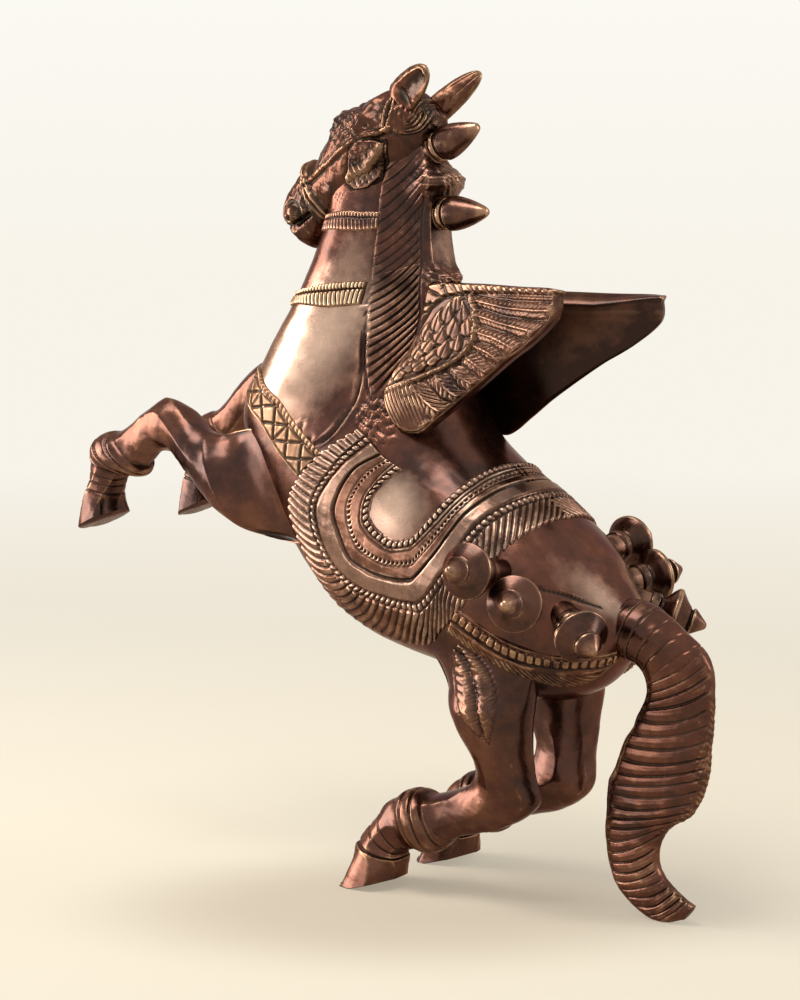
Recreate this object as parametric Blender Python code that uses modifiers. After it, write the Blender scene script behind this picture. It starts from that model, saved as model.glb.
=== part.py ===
"""Brass winged horse, rearing on two hind hooves and the tip of its tail.

The statue is put together from separate castings: torso, neck, head, four legs,
two wings and a tail. Each casting has a spigot or a tenon that seats in a socket
of its neighbour, and eight turned knobs sit on collars and screw on plain studs.
The horse looks along -X, its left side is -Y, and it stands on Z = 0.
Tables of ribs, seats and outlines are in millimetres, measured from the point
midway between the hind hooves; everything that reaches Blender is in metres.
"""
import math
from collections import namedtuple

import bmesh
import bpy
import numpy as np
from mathutils import Euler, Matrix, Vector

MM = 0.001

# Play between pieces that touch
SEAM_GAP = 0.3 * MM
SKIN_GAP = 0.4 * MM

# Spigots: diameter and length of the peg on each casting, and how far it reaches back into its own casting
NECK_SPIGOT_D = 26.0 * MM
NECK_SPIGOT_L = 14.0 * MM
HEAD_SPIGOT_D = 18.0 * MM
HEAD_SPIGOT_L = 11.0 * MM
FORELEG_SPIGOT_D = 12.0 * MM
FORELEG_SPIGOT_L = 12.0 * MM
HIND_SPIGOT_D = 14.0 * MM
HIND_SPIGOT_L = 14.0 * MM
TAIL_SPIGOT_D = 11.0 * MM
TAIL_SPIGOT_L = 13.0 * MM
SPIGOT_ROOT = 6.0 * MM
# Where each limb's spigot leaves the limb, left side, in millimetres, and which way it points
FORELEG_SEAT = (-50, 28, 148.5)
FORELEG_SPIGOT_WAY = (0.9, -0.42, 0.1)
HIND_SEAT = (56, 23, 80)
HIND_SPIGOT_WAY = (0.1, -0.12, 0.99)
TAIL_SEAT = (104, 0, 103.5)
TAIL_SPIGOT_WAY = (-1, 0, 0.05)

# Wings: a thick cast plate with a feathered outer face
WING_THICKNESS = 5.0 * MM
WING_SPLAY = math.radians(15.5)
WING_LEAN = math.radians(7.8)
# A wing's root: in front of and below the back at this rib of the trunk, and in from the trunk's side
WING_TRUNK_RIB = 9
WING_ROOT_FORWARD = 11.0 * MM
WING_ROOT_SINK = 9.0 * MM
WING_ROOT_INSET = 18.1 * MM
FEATHER_COUNT = 8
FEATHER_RELIEF = 0.8 * MM
# Shares of the way out from the fan's root between which the feathers rise from the plate
QUILL_FROM = 0.35
QUILL_TO = 0.55
WING_BORDER_WIDTH = 6.0 * MM
WING_BORDER_RELIEF = 0.9 * MM
# The root of the plate is dished outwards to lie over the shoulder
WING_DISH = 11.0 * MM
WING_DISH_RADIUS = 22.0 * MM
# The inner face is bevelled along its top edge
WING_BEVEL = 3.3 * MM
WING_BEVEL_FROM = 30.0 * MM
WING_BEVEL_TO = 76.0 * MM
WING_BEVEL_RUN_OUT = 24.0 * MM
# The right wing is set a little lower and further back than the left one
RIGHT_WING_BACK = 3.0 * MM
RIGHT_WING_DROP = 3.5 * MM
WING_TENON_WIDTH = 14.0 * MM
WING_TENON_THICK = 3.4 * MM
WING_TENON_DEPTH = 8.0 * MM

# Root of the fan of feathers in the plate, and the directions where the fan starts and ends
FAN_ROOT = (9, 0)
FAN_START = math.radians(-57)
FAN_END = math.radians(32.3)
# Middle of the tenon, from the wing's root: backwards, outwards and down
TENON_BACK = 3.0 * MM
TENON_OUT = 3.1 * MM
TENON_DOWN = 4.0 * MM

# Ears: leaf-shaped cups
EAR_LENGTH = 24.0 * MM
EAR_WIDTH = 11.0 * MM
EAR_DEPTH = 7.5 * MM
EAR_CUP_DEPTH = 4.0 * MM
EAR_RISE = math.radians(42.0)
# An ear's root: behind and below the top of this rib of the skull, and in from the skull's side
EAR_SKULL_RIB = 1
EAR_ROOT_BACK = 3.0 * MM
EAR_ROOT_SINK = 6.0 * MM
EAR_ROOT_INSET = 1.0 * MM
# The cup in an ear, as shares of the ear's length and width
EAR_CUP_MIDDLE = 0.58
EAR_CUP_HALF_LENGTH = 0.36
EAR_CUP_HALF_WIDTH = 0.32
EAR_POINT = 0.12
# Where along its length an ear is widest
EAR_WIDEST = 0.38
EAR_RINGS = 7
EAR_SIDES = 10

# Raised bands round the neck
COLLAR_PROUD = 1.4 * MM
THROAT_BAND_PROUD = 0.7 * MM
# Width of a band's sloped edge in rib numbers, and the heights between which it dies out towards the mane
BAND_EDGE = 0.04
BAND_FADE_FROM = 0.25
BAND_FADE_TO = 0.55

# Height of the cast harness over the torso: its rims, border, rows of beads and deep groove; it is fused
# in this deep, and neighbours stand clear of it as if it were as high as its beads all over
RIM_PROUD = 0.8 * MM
BORDER_PROUD = 1.3 * MM
BEADS_PROUD = 1.6 * MM
GROOVE_PROUD = 0.5 * MM
HARNESS_SINK = 1.6 * MM
HARNESS_CLEARANCE = 0.7 * MM
# Cross-section of a saddle cloth: place between its lines, counted from the seat outwards, and height
CLOTH_PROFILE = [
    (-0.2, RIM_PROUD), (0.0, BEADS_PROUD), (0.9, BORDER_PROUD), (1.0, GROOVE_PROUD), (1.1, BORDER_PROUD),
    (1.8, BORDER_PROUD), (2.0, BEADS_PROUD), (2.2, RIM_PROUD), (3.0, RIM_PROUD),
]
CLOTH_ROOM = [(-0.25, BEADS_PROUD), (0.9, BEADS_PROUD), (2.0, BEADS_PROUD), (3.05, BEADS_PROUD)]
CLOTH_STATIONS = 25
# Cross-section of the breast strap, from its lower rim to its roped upper edge
STRAP_PROFILE = [(0.0, BORDER_PROUD), (0.7, BORDER_PROUD), (0.9, BEADS_PROUD), (1.0, BORDER_PROUD)]
STRAP_ROOM = [(-0.08, BEADS_PROUD), (1.08, BEADS_PROUD)]
STRAP_STATIONS = 19

# Tail: a flat blade with cross grooves
TAIL_GROOVES = 21
TAIL_GROOVE_DEPTH = 0.7 * MM
DOCK_GROOVES = 6
DOCK_GROOVE_DEPTH = 0.4 * MM

# Rump knobs, each turned from bar, on a plain collar
KNOB_RIM_D = 20.0 * MM
KNOB_RIM_BAND = 1.5 * MM
KNOB_FOOT_D = 12.0 * MM
KNOB_FOOT_L = 4.0 * MM
KNOB_WAIST_D = 9.5 * MM
KNOB_BOWL_L = 5.0 * MM
KNOB_SHOULDER_L = 4.5 * MM
KNOB_GROOVE_D = 8.4 * MM
KNOB_GROOVE_L = 1.2 * MM
KNOB_FINIAL_D = 10.0 * MM
KNOB_FINIAL_L = 6.0 * MM
KNOB_FINIAL_BAND = 1.5 * MM
KNOB_BOWL_FULLNESS = 0.4 * MM
KNOB_FOOT_CHAMFER = 1.0 * MM
KNOB_TIP_D = 1.6 * MM
KNOB_COLLAR_D = 10.5 * MM
KNOB_COLLAR_L = 7.0 * MM

# Mane knobs, bullet shaped, on a grooved ring collar
MANE_COLLAR_D = 12.0 * MM
MANE_COLLAR_L = 3.0 * MM
MANE_NECK_D = 10.0 * MM
MANE_NECK_L = 1.6 * MM
MANE_BULLET_D = 13.0 * MM
MANE_BAND_L = 2.6 * MM
MANE_BULLET_L = 14.0 * MM
MANE_TIP_D = 2.4 * MM
MANE_OGIVE = 1.7

# How much longer a collar is sawn before it is filed to the casting's curve
COLLAR_SPARE = 8.0 * MM

# Studs that the knobs screw on
STUD_D = 5.0 * MM
STUD_IN_BODY = 9.0 * MM
STUD_IN_KNOB = 7.0 * MM
MANE_STUD_IN_KNOB = 9.0 * MM

# Block that files the soles and the tail's tip flat
GROUND_D = 500.0 * MM
GROUND_DEPTH = 10.0 * MM

# Facets
TRUNK_SIDES = 24
SKULL_SIDES = 18
LEG_SIDES = 12
LEG_RINGS = 20
TAIL_SIDES = 10
COLLAR_SIDES = 12
STUD_SIDES = 10
KNOB_STEPS = 12
WING_REST_POINTS = 26
# Rings of the wing's faces, as shares of the way from the fan's root to the outline
WING_OUTER_RINGS = (0.06, 0.35, 0.55, 0.75, 0.88, 1.0)
WING_INNER_RINGS = (1.0, 0.5, 0.06)

# Colours: brown patina over brass, and bare turned brass for the hidden studs
PATINA = (0.165, 0.070, 0.040, 1.0)
BRIGHT_BRASS = (0.70, 0.50, 0.22, 1.0)

# A rib is one cross-section: the two ends of its height in the side view, its half width, the place of
# its middle across the horse, its squareness, how much narrower its top is, and how much of its top is flat
Rib = namedtuple("Rib", "under top half_width y squareness pinch flat", defaults=(0.0, 2.1, 0.0, 0.0))

# Body and neck, from the dock to the poll: belly point, back point, half width
TRUNK = [
    Rib((99, 92), (104, 103), 6),
    Rib((88, 81), (103, 110), 15),
    Rib((72, 75), (95, 120), 26.5),
    Rib((50, 77), (83, 134), 35, 0, 2.2),
    Rib((28, 84), (66, 147), 38, 0, 2.2),
    Rib((8, 88), (50, 158), 38, 0, 2.2),
    Rib((-10, 93), (38, 168), 38),
    Rib((-26, 102), (31, 176), 37.5),
    Rib((-41, 118), (27, 184), 37, 0, 2.1, 0.05, 0.00),
    Rib((-55, 138), (24, 192), 36, 0, 2.1, 0.12, 0.01),
    Rib((-65, 157), (21.5, 200), 34, 0, 2.1, 0.20, 0.03),
    Rib((-68, 174), (19.5, 208), 32, 0, 2.1, 0.27, 0.05),
    Rib((-60.5, 190), (18, 216), 28, 0, 2.1, 0.33, 0.07),
    Rib((-53, 203), (17, 225), 24, 0, 2.2, 0.37, 0.09),
    Rib((-44.5, 216), (16.5, 234), 20.5, 0, 2.3, 0.40, 0.11),
    Rib((-38, 230), (15.5, 243), 17.5, 0, 2.3, 0.36, 0.12),
    Rib((-32.5, 244), (15, 255), 16, 0, 2.3, 0.34, 0.12),
    Rib((-28.5, 258), (13, 268), 15.5, 0, 2.3, 0.26, 0.10),
    Rib((-25, 270), (10, 281), 16, 0, 2.2, 0.20, 0.05),
]
# Rib numbers where one casting ends and the next begins, and where the raised bands run
NECK_SEAM = 13.9
THROAT_SEAM = 16.6
COLLAR_BAND = (13.98, 14.78)
THROAT_BAND = (15.95, 16.5)

# Lines of the left saddle cloth, from its front end round below the seat to the middle of the back: rib
# number and degrees above the middle of the flank on the seat's beads, the groove, the outer beads and
# the fringe's ends
SADDLE_CLOTH = [
    ((6.85, 35), (7.62, 30), (8.27, 27), (8.80, 23)),
    ((6.94, 26), (7.86, 13), (8.26, 7), (8.86, -2)),
    ((6.95, 15), (7.59, -3), (8.01, -14), (8.55, -28)),
    ((6.68, 7), (7.02, -9), (7.30, -23), (7.66, -42)),
    ((6.31, 5), (6.47, -13), (6.59, -26), (6.79, -50)),
    ((5.96, 5), (5.93, -12), (5.92, -25), (5.89, -51)),
    ((5.60, 6), (5.43, -9), (5.28, -21), (4.97, -49)),
    ((5.29, 11), (4.93, -4), (4.64, -16), (4.12, -37)),
    ((5.19, 15), (4.73, 1), (4.36, -11), (3.86, -26)),
    ((5.13, 26), (4.62, 18), (4.21, 11), (3.61, 2)),
    ((5.12, 40), (4.66, 40), (4.26, 40), (3.60, 40)),
    ((5.11, 65), (4.62, 65), (4.20, 65), (3.56, 65)),
    ((5.10, 91.5), (4.58, 91.5), (4.15, 91.5), (3.53, 91.5)),
]
# Lower and upper edge of the breast strap, from the left saddle cloth to the middle of the breast
BREAST_STRAP = [
    ((8.72, -15), (8.75, 2)),
    ((9.19, -19.2), (9.24, -1.5)),
    ((9.82, -24.1), (9.99, -7.5)),
    ((10.42, -29.9), (10.81, -15.5)),
    ((11.29, -47.6), (11.78, -37.6)),
    ((11.62, -68), (12.20, -62)),
    ((11.75, -90), (12.35, -90)),
]

# Skull, from the poll to the lips: jaw point, forehead point
SKULL = [
    Rib((13, 279), (9, 290), 8),
    Rib((7, 268), (1, 295), 15, 0, 2.2),
    Rib((-6, 260), (-11, 295), 18, 0, 2.2),
    Rib((-18, 253), (-23, 289), 18, 0, 2.2),
    Rib((-27, 250), (-32, 280), 16, 0, 2.2),
    Rib((-35, 245), (-39, 271), 13.5, 0, 2.2),
    Rib((-39, 240), (-49, 266), 12.5, 0, 2.2),
    Rib((-43, 238), (-56, 257), 11.5),
    Rib((-48, 241), (-56, 250), 7.5, 0, 2.0),
]

# Left foreleg, from the shoulder to the sole: back point, front point
FORELEG = [
    Rib((-22, 126), (-36, 172), 13, -26),
    Rib((-36, 127), (-55, 170), 13, -28),
    Rib((-51, 129), (-68, 167), 13, -29),
    Rib((-62, 133), (-76, 169), 12, -29),
    Rib((-72, 140), (-83, 174), 11, -29),
    Rib((-82, 149), (-89, 178), 10, -29),
    Rib((-91, 157), (-97, 180), 9.5, -29),
    Rib((-100, 158), (-107, 175), 9, -29),
    Rib((-107, 153), (-119, 167), 8.5, -29),
    Rib((-111, 149), (-132, 162), 10, -29),
    Rib((-119.5, 148), (-136.5, 153.5), 8.5, -29),
    Rib((-122.5, 143), (-138, 146), 8.5, -29),
    Rib((-124, 137), (-140.5, 138.5), 9.5, -29, 2.2),
    Rib((-123, 133.5), (-142.5, 125), 11, -29, 2.3),
]
# The right upper arm is carried higher than the left one, from the shoulder to the knee
RIGHT_KNEE_LIFT = 12.0 * MM
KNEE_RIB = 5.5
KNEE_FADE_RIBS = 3.0

# Left hind leg, from the hip to the sole: front point, back point
HIND_LEG = [
    Rib((30, 96), (80, 104), 15, -22),
    Rib((32, 88), (77, 92), 16, -23),
    Rib((38, 76), (73, 78), 14.5, -23),
    Rib((44, 63), (71, 64), 12.5, -22),
    Rib((48, 54), (71, 51), 11, -20),
    Rib((46, 46), (72, 38), 10, -17.5),
    Rib((38, 41), (60, 29), 9, -18),
    Rib((28, 37.5), (40, 23), 8.5, -19),
    Rib((19, 37), (29, 17), 11, -20),
    Rib((9, 33.5), (20, 15), 9.5, -20),
    Rib((3, 26), (15, 13.5), 9, -21),
    Rib((-3, 18), (14.5, 11.5), 10.5, -22),
    Rib((-5, 9.5), (14, 8.5), 11.5, -23, 2.2),
    Rib((-10, -2.6), (13.5, 4.0), 13, -23.5, 2.3),
]

# Tail, from the dock to the curled tip: inner point, outer point
TAIL = [
    Rib((92, 94), (98, 115), 10.5),
    Rib((99, 93), (108, 114), 11),
    Rib((106, 90), (121, 106), 9.5),
    Rib((108, 82), (133, 96), 7, 0, 2.3),
    Rib((104, 74), (136, 81), 5.5, 0, 2.3),
    Rib((97, 64), (135, 65), 5.5, 0, 2.3),
    Rib((92, 50), (133, 52), 5.5, 0, 2.3),
    Rib((91, 38), (127, 40), 5.5, 0, 2.3),
    Rib((91, 27), (116, 32), 5.5, 0, 2.3),
    Rib((94, 14), (113, 21), 5.5, 0, 2.3),
    Rib((101, 5), (118, 14), 5.0, 0, 2.2),
    Rib((113, -0.9), (124, 10), 4.0, 0, 2.0),
    Rib((124, 1.5), (128.5, 8), 2.5, 0, 2.0),
]

# Wing outline from the root, along and up the plate: top edge, tip, trailing edge, shoulder, leading edge
WING_OUTLINE = [
    (7.5, 42.7), (32, 43.6), (58, 43), (76, 42.6), (77.5, 40), (76.3, 32.5), (66, 24), (53, 16.3),
    (35, 3.8), (24, -5), (14.5, -11.8), (5.5, -9.8), (1, -1.5), (1.7, 7), (5, 20), (6.5, 33),
]

# Swellings of the left side of the head: middle, half sizes in millimetres, turn in degrees
HEAD_SWELLINGS = [
    ("cheek_leaf", (-4, 17.5, 270), (6.5, 5.5, 13.5), 42),
    ("nostril", (-48, 7.5, 251), (6.0, 4.5, 5.5), 0),
    ("eye", (2, 15.0, 287), (4.5, 3.0, 6.5), 10),
]

# Knobs on the rump: middle of the rim and direction of the axis, left side
RUMP_KNOBS = [
    ((66.4, -53.1, 127.5), (0.05, -0.99, 0.14)),
    ((82.2, -46.4, 116.7), (0.31, -0.94, 0.12)),
    ((100.0, -30.8, 104.8), (0.80, -0.50, -0.33)),
]
# Knobs on the mane: middle of the collar's face on the neck, and direction of the axis
MANE_KNOBS = [
    ((12.5, 0, 275), (0.93, 0, 0.36)),
    ((15.5, 0, 251), (1.0, 0, 0.03)),
]


def collection(name):
    """A collection of this name, linked to the scene."""
    made = bpy.data.collections.new(name)
    bpy.context.scene.collection.children.link(made)
    return made


def finish(name, color, roughness, metallic):
    """A Principled material for one casting or turned piece."""
    made = bpy.data.materials.new(name)
    made.use_nodes = True
    shader = made.node_tree.nodes["Principled BSDF"]
    shader.inputs["Base Color"].default_value = color
    shader.inputs["Roughness"].default_value = roughness
    shader.inputs["Metallic"].default_value = metallic
    return made


def spline(rows, at):
    """Values of every column of rows at fractional row numbers, on a Catmull-Rom curve."""
    last = len(rows) - 1
    low = np.clip(at.astype(int), 0, last - 1)
    part = (at - low)[:, None]
    before = np.where((low == 0)[:, None], 2 * rows[0] - rows[1], rows[np.maximum(low - 1, 0)])
    beyond = np.where(
        (low == last - 1)[:, None], 2 * rows[last] - rows[last - 1], rows[np.minimum(low + 2, last)]
    )
    here = rows[low]
    there = rows[low + 1]
    cubic = 3 * here - before - 3 * there + beyond
    square = 2 * before - 5 * here + 4 * there - beyond
    return 0.5 * (2 * here + (there - before) * part + square * part**2 + cubic * part**3)


def rib_values(ribs):
    """Ribs as an array: under x z, top x z, half width, y, in metres, then squareness, pinch and flat."""
    lengths = np.array([[*rib.under, *rib.top, rib.half_width, rib.y] for rib in ribs]) * MM
    shares = np.array([[rib.squareness, rib.pinch, rib.flat] for rib in ribs])
    return np.hstack([lengths, shares])


def section_points(row, turn, grow=0.0, spread=None):
    """Points of cross-sections at turns round them, each grown outwards by grow.

    A section is a superellipse between its under and top points, and row holds its values.
    spread gives the share of grow for each height, from -1 at the under end to 1 at the top.
    """
    power = 2 / row[:, 6]
    across = np.sign(np.cos(turn)) * np.abs(np.cos(turn)) ** power
    height = np.sign(np.sin(turn)) * np.abs(np.sin(turn)) ** power
    swell = grow * (spread(height) if spread else 1.0)
    flat = row[:, 8]
    middle = (row[:, 0:2] + row[:, 2:4]) / 2
    reach = (row[:, 2:4] - row[:, 0:2]) / 2
    size = np.hypot(reach[:, 0], reach[:, 1])
    width = (row[:, 4] + swell) * across * (1 - row[:, 7] * height)
    lifted = np.minimum(height / (1 - flat), 1.0) * (1 + swell / size)
    x = middle[:, 0] + reach[:, 0] * lifted
    z = middle[:, 1] + reach[:, 1] * lifted
    return np.stack([x, row[:, 5] + width, z], axis=-1)


def sections(values, at, sides, grow=0.0, spread=None):
    """Whole cross-sections at rib numbers at, with sides points round each."""
    row = spline(values, np.asarray(at, float))[:, :, None]
    turn = np.linspace(0, 2 * math.pi, sides, endpoint=False)[None]
    return section_points(row, turn, np.broadcast_to(grow, (len(at),))[:, None], spread)


def mesh_object(name, mesh, target, material=None):
    """Link a mesh as an object, in the collection for parts or for cutters."""
    made = bpy.data.objects.new(name, mesh)
    target.objects.link(made)
    if material:
        mesh.materials.append(material)
    if target is CUTTERS:
        made.hide_render = True
        made.display_type = "WIRE"
    made.parent = BASE
    return made


def grid_mesh(name, rings):
    """A closed mesh through rings of points, the two ends filled."""
    count, sides = rings.shape[:2]
    shape = bmesh.new()
    verts = [shape.verts.new(point) for point in rings.reshape(-1, 3)]
    for ring in range(count - 1):
        for side in range(sides):
            after = (side + 1) % sides
            shape.faces.new((
                verts[ring * sides + side],
                verts[ring * sides + after],
                verts[(ring + 1) * sides + after],
                verts[(ring + 1) * sides + side],
            ))
    shape.faces.new(verts[:sides])
    shape.faces.new(verts[-sides:])
    bmesh.ops.recalc_face_normals(shape, faces=shape.faces)
    mesh = bpy.data.meshes.new(name)
    shape.to_mesh(mesh)
    shape.free()
    mesh.shade_smooth()
    mesh.set_sharp_from_angle(angle=math.radians(50))
    return mesh


def boolean(target, other, operation):
    """Cut a piece with another object, or join the two."""
    step = target.modifiers.new(other.name, "BOOLEAN")
    step.operation = operation
    step.object = other
    return step


def cylinder(name, start, direction, diameter, length, sides=16):
    """A cutter cylinder from a point along a direction."""
    shape = bmesh.new()
    bmesh.ops.create_cone(
        shape, cap_ends=True, segments=sides, radius1=diameter / 2, radius2=diameter / 2, depth=length,
        matrix=Matrix.Translation((0, 0, length / 2)),
    )
    mesh = bpy.data.meshes.new(name)
    shape.to_mesh(mesh)
    shape.free()
    made = mesh_object(name, mesh, CUTTERS)
    made.location = start
    made.rotation_euler = Vector(direction).to_track_quat("Z", "Y").to_euler()
    return made


def peg(casting, neighbour, seat, direction, diameter, length):
    """Give a casting a spigot at seat that runs along direction into its neighbour's socket."""
    direction = Vector(direction).normalized()
    seat = Vector(seat)
    name = f"{casting.name}_in_{neighbour.name}"
    root = seat - direction * SPIGOT_ROOT
    length = length + SPIGOT_ROOT
    spigot = cylinder(f"{name}_spigot", root, direction, diameter, length)
    socket = cylinder(f"{name}_socket", root, direction, diameter + 2 * SEAM_GAP, length + SEAM_GAP)
    boolean(casting, spigot, "UNION")
    boolean(neighbour, socket, "DIFFERENCE")


def trunk_stations(first, last, step=0.6):
    """Rib numbers from first to last, with a ring at every step of 0.6 of a rib between."""
    inner = np.arange(math.floor(first / step) * step + step, last - 0.1, step)
    return np.concatenate([[first], inner[inner > first + 0.1], [last]])


def trunk_normal(at):
    """Unit direction square to the trunk's cross-section at a rib number, towards the head."""
    under_x, under_z, top_x, top_z = spline(rib_values(TRUNK), np.array([at]))[0, 0:4]
    return Vector((-(top_z - under_z), 0, top_x - under_x)).normalized()


def trunk_middle(at):
    """Middle of the trunk's cross-section at a rib number."""
    row = spline(rib_values(TRUNK), np.array([at]))[0]
    return Vector(((row[0] + row[2]) / 2, 0, (row[1] + row[3]) / 2))


def front_only(height):
    """Share of a band's thickness round the front and sides of the neck, none on the mane."""
    return np.clip((BAND_FADE_TO - height) / (BAND_FADE_TO - BAND_FADE_FROM), 0, 1)


def banded(first, last, bands):
    """Rib numbers and growth for a stretch of trunk with raised bands, each (first, last, proud)."""
    at = trunk_stations(first, last)
    for start, end, proud in bands:
        at = at[(at < start - 2 * BAND_EDGE) | (at > end + 2 * BAND_EDGE)]
    grow = np.zeros(len(at))
    for start, end, proud in bands:
        at = np.concatenate([at, [start, start + BAND_EDGE, end - BAND_EDGE, end]])
        grow = np.concatenate([grow, [0, proud, proud, 0]])
    order = np.argsort(at)
    return at[order], grow[order]


def build_torso():
    """Barrel, rump and breast: one casting from the dock to just under the collar."""
    at = trunk_stations(0, NECK_SEAM)
    rings = sections(rib_values(TRUNK), at, TRUNK_SIDES)
    mesh = grid_mesh("torso", rings)
    torso = mesh_object("torso", mesh, PARTS, finish("torso_patina", PATINA, 0.34, 0.9))
    grown = sections(rib_values(TRUNK), at, TRUNK_SIDES, SKIN_GAP)
    back = Vector(grown[0].mean(axis=0) - grown[1].mean(axis=0)).normalized()
    grown[0] += np.array(back * SKIN_GAP)
    skin = mesh_object("torso_skin", grid_mesh("torso_skin", grown), CUTTERS)
    add_harness(torso, skin)
    return torso, skin


def harness_strip(name, lines, stations, profile, side, grow=0.0):
    """A closed strip along lines on the trunk's left side, or on its right, higher by grow.

    A profile point lies between two of the lines, or a little outside them, at a height over the trunk.
    """
    rows = np.array(lines, float)
    count = rows.shape[1]
    rows = spline(rows.reshape(len(rows), -1), np.linspace(0, len(rows) - 1, stations))
    rows = rows.reshape(stations, count, 2)
    place, height = np.array(profile).T
    place = np.concatenate([place, place[[-1, 0]]])
    height = np.concatenate([height + grow, [-HARNESS_SINK, -HARNESS_SINK]])
    low = np.clip(place.astype(int), 0, count - 2)
    part = (place - low)[None, :, None]
    rib, climb = np.moveaxis(rows[:, low] * (1 - part) + rows[:, low + 1] * part, -1, 0)
    values = spline(rib_values(TRUNK), rib.ravel()).reshape(*rib.shape, -1)
    rings = section_points(np.moveaxis(values, -1, 1), np.radians(180 - climb), height)
    rings[..., 1] *= -side
    return mesh_object(name, grid_mesh(name, rings), CUTTERS)


def add_harness(torso, skin):
    """Fuse the saddle cloths and the breast strap to the torso, and the room they need to its skin."""
    strap_right = [tuple((rib, -180 - climb) for rib, climb in row) for row in BREAST_STRAP[-2::-1]]
    cloth = (SADDLE_CLOTH, CLOTH_STATIONS, CLOTH_PROFILE, CLOTH_ROOM)
    strips = [
        ("breast_strap", -1, BREAST_STRAP + strap_right, STRAP_STATIONS, STRAP_PROFILE, STRAP_ROOM),
        ("left_saddle_cloth", -1, *cloth),
        ("right_saddle_cloth", 1, *cloth),
    ]
    for name, side, lines, stations, profile, room in strips:
        boolean(torso, harness_strip(name, lines, stations, profile, side), "UNION")
        clearance = harness_strip(f"{name}_room", lines, stations, room, side, HARNESS_CLEARANCE)
        boolean(skin, clearance, "UNION")


def build_neck(torso):
    """Arched neck with its raised collar, on a spigot in the torso."""
    bands = [(*COLLAR_BAND, COLLAR_PROUD), (*THROAT_BAND, THROAT_BAND_PROUD)]
    at, grow = banded(NECK_SEAM, THROAT_SEAM, bands)
    rings = sections(rib_values(TRUNK), at, TRUNK_SIDES, grow, front_only)
    rings[0] += np.array(trunk_normal(NECK_SEAM) * SEAM_GAP)
    neck = mesh_object("neck", grid_mesh("neck", rings), PARTS, finish("neck_patina", PATINA, 0.3, 0.9))
    grown = sections(rib_values(TRUNK), at, TRUNK_SIDES, grow + SKIN_GAP, None)
    grown[-1] += np.array(trunk_normal(THROAT_SEAM) * SEAM_GAP / 2)
    skin = mesh_object("neck_skin", grid_mesh("neck_skin", grown), CUTTERS)
    seat = trunk_middle(NECK_SEAM)
    peg(neck, torso, seat, -trunk_normal(NECK_SEAM), NECK_SPIGOT_D, NECK_SPIGOT_L)
    return neck, skin


def ellipsoid(name, centre, radii, turn=(0, 0, 0), segments=10, rings=6):
    """A swelling or a scoop for the castings."""
    shape = bmesh.new()
    bmesh.ops.create_uvsphere(
        shape, u_segments=segments, v_segments=rings, radius=1, matrix=Matrix.Diagonal((*radii, 1))
    )
    mesh = bpy.data.meshes.new(name)
    shape.to_mesh(mesh)
    shape.free()
    made = mesh_object(name, mesh, CUTTERS)
    made.location = centre
    made.rotation_euler = turn
    return made


def build_ear(head, side):
    """A leaf-shaped ear joined to the head, with a cup cut in its outer face."""
    word = "left" if side < 0 else "right"
    along = Vector((math.cos(EAR_RISE), 0, math.sin(EAR_RISE)))
    wide = np.array((-math.sin(EAR_RISE), 0, math.cos(EAR_RISE)))
    crown = SKULL[EAR_SKULL_RIB]
    spread = crown.half_width * MM - EAR_ROOT_INSET
    root = Vector((
        crown.top[0] * MM + EAR_ROOT_BACK, side * spread, crown.top[1] * MM - EAR_ROOT_SINK,
    ))
    share = np.linspace(0, 1, EAR_RINGS)
    swell = np.sqrt(np.clip(1 - ((share - EAR_WIDEST) / (1 - EAR_WIDEST)) ** 2, 0, 1))
    swell[-1] = EAR_POINT
    turn = np.linspace(0, 2 * math.pi, EAR_SIDES, endpoint=False)
    middle = np.array(root)[None] + share[:, None] * EAR_LENGTH * np.array(along)
    across = EAR_WIDTH / 2 * swell[:, None] * np.cos(turn)
    out = EAR_DEPTH / 2 * swell[:, None] * np.sin(turn)
    rings = middle[:, None] + across[..., None] * wide + out[..., None] * np.array((0, side, 0))
    ear = mesh_object(f"{word}_ear", grid_mesh(f"{word}_ear", rings), CUTTERS)
    middle_of_cup = root + along * EAR_LENGTH * EAR_CUP_MIDDLE + Vector((0, side * EAR_DEPTH / 2, 0))
    cup_size = (EAR_LENGTH * EAR_CUP_HALF_LENGTH, EAR_CUP_DEPTH, EAR_WIDTH * EAR_CUP_HALF_WIDTH)
    cup = ellipsoid(f"{word}_ear_cup", middle_of_cup, cup_size, (0, -EAR_RISE, 0))
    boolean(ear, cup, "DIFFERENCE")
    boolean(head, ear, "UNION")


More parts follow.
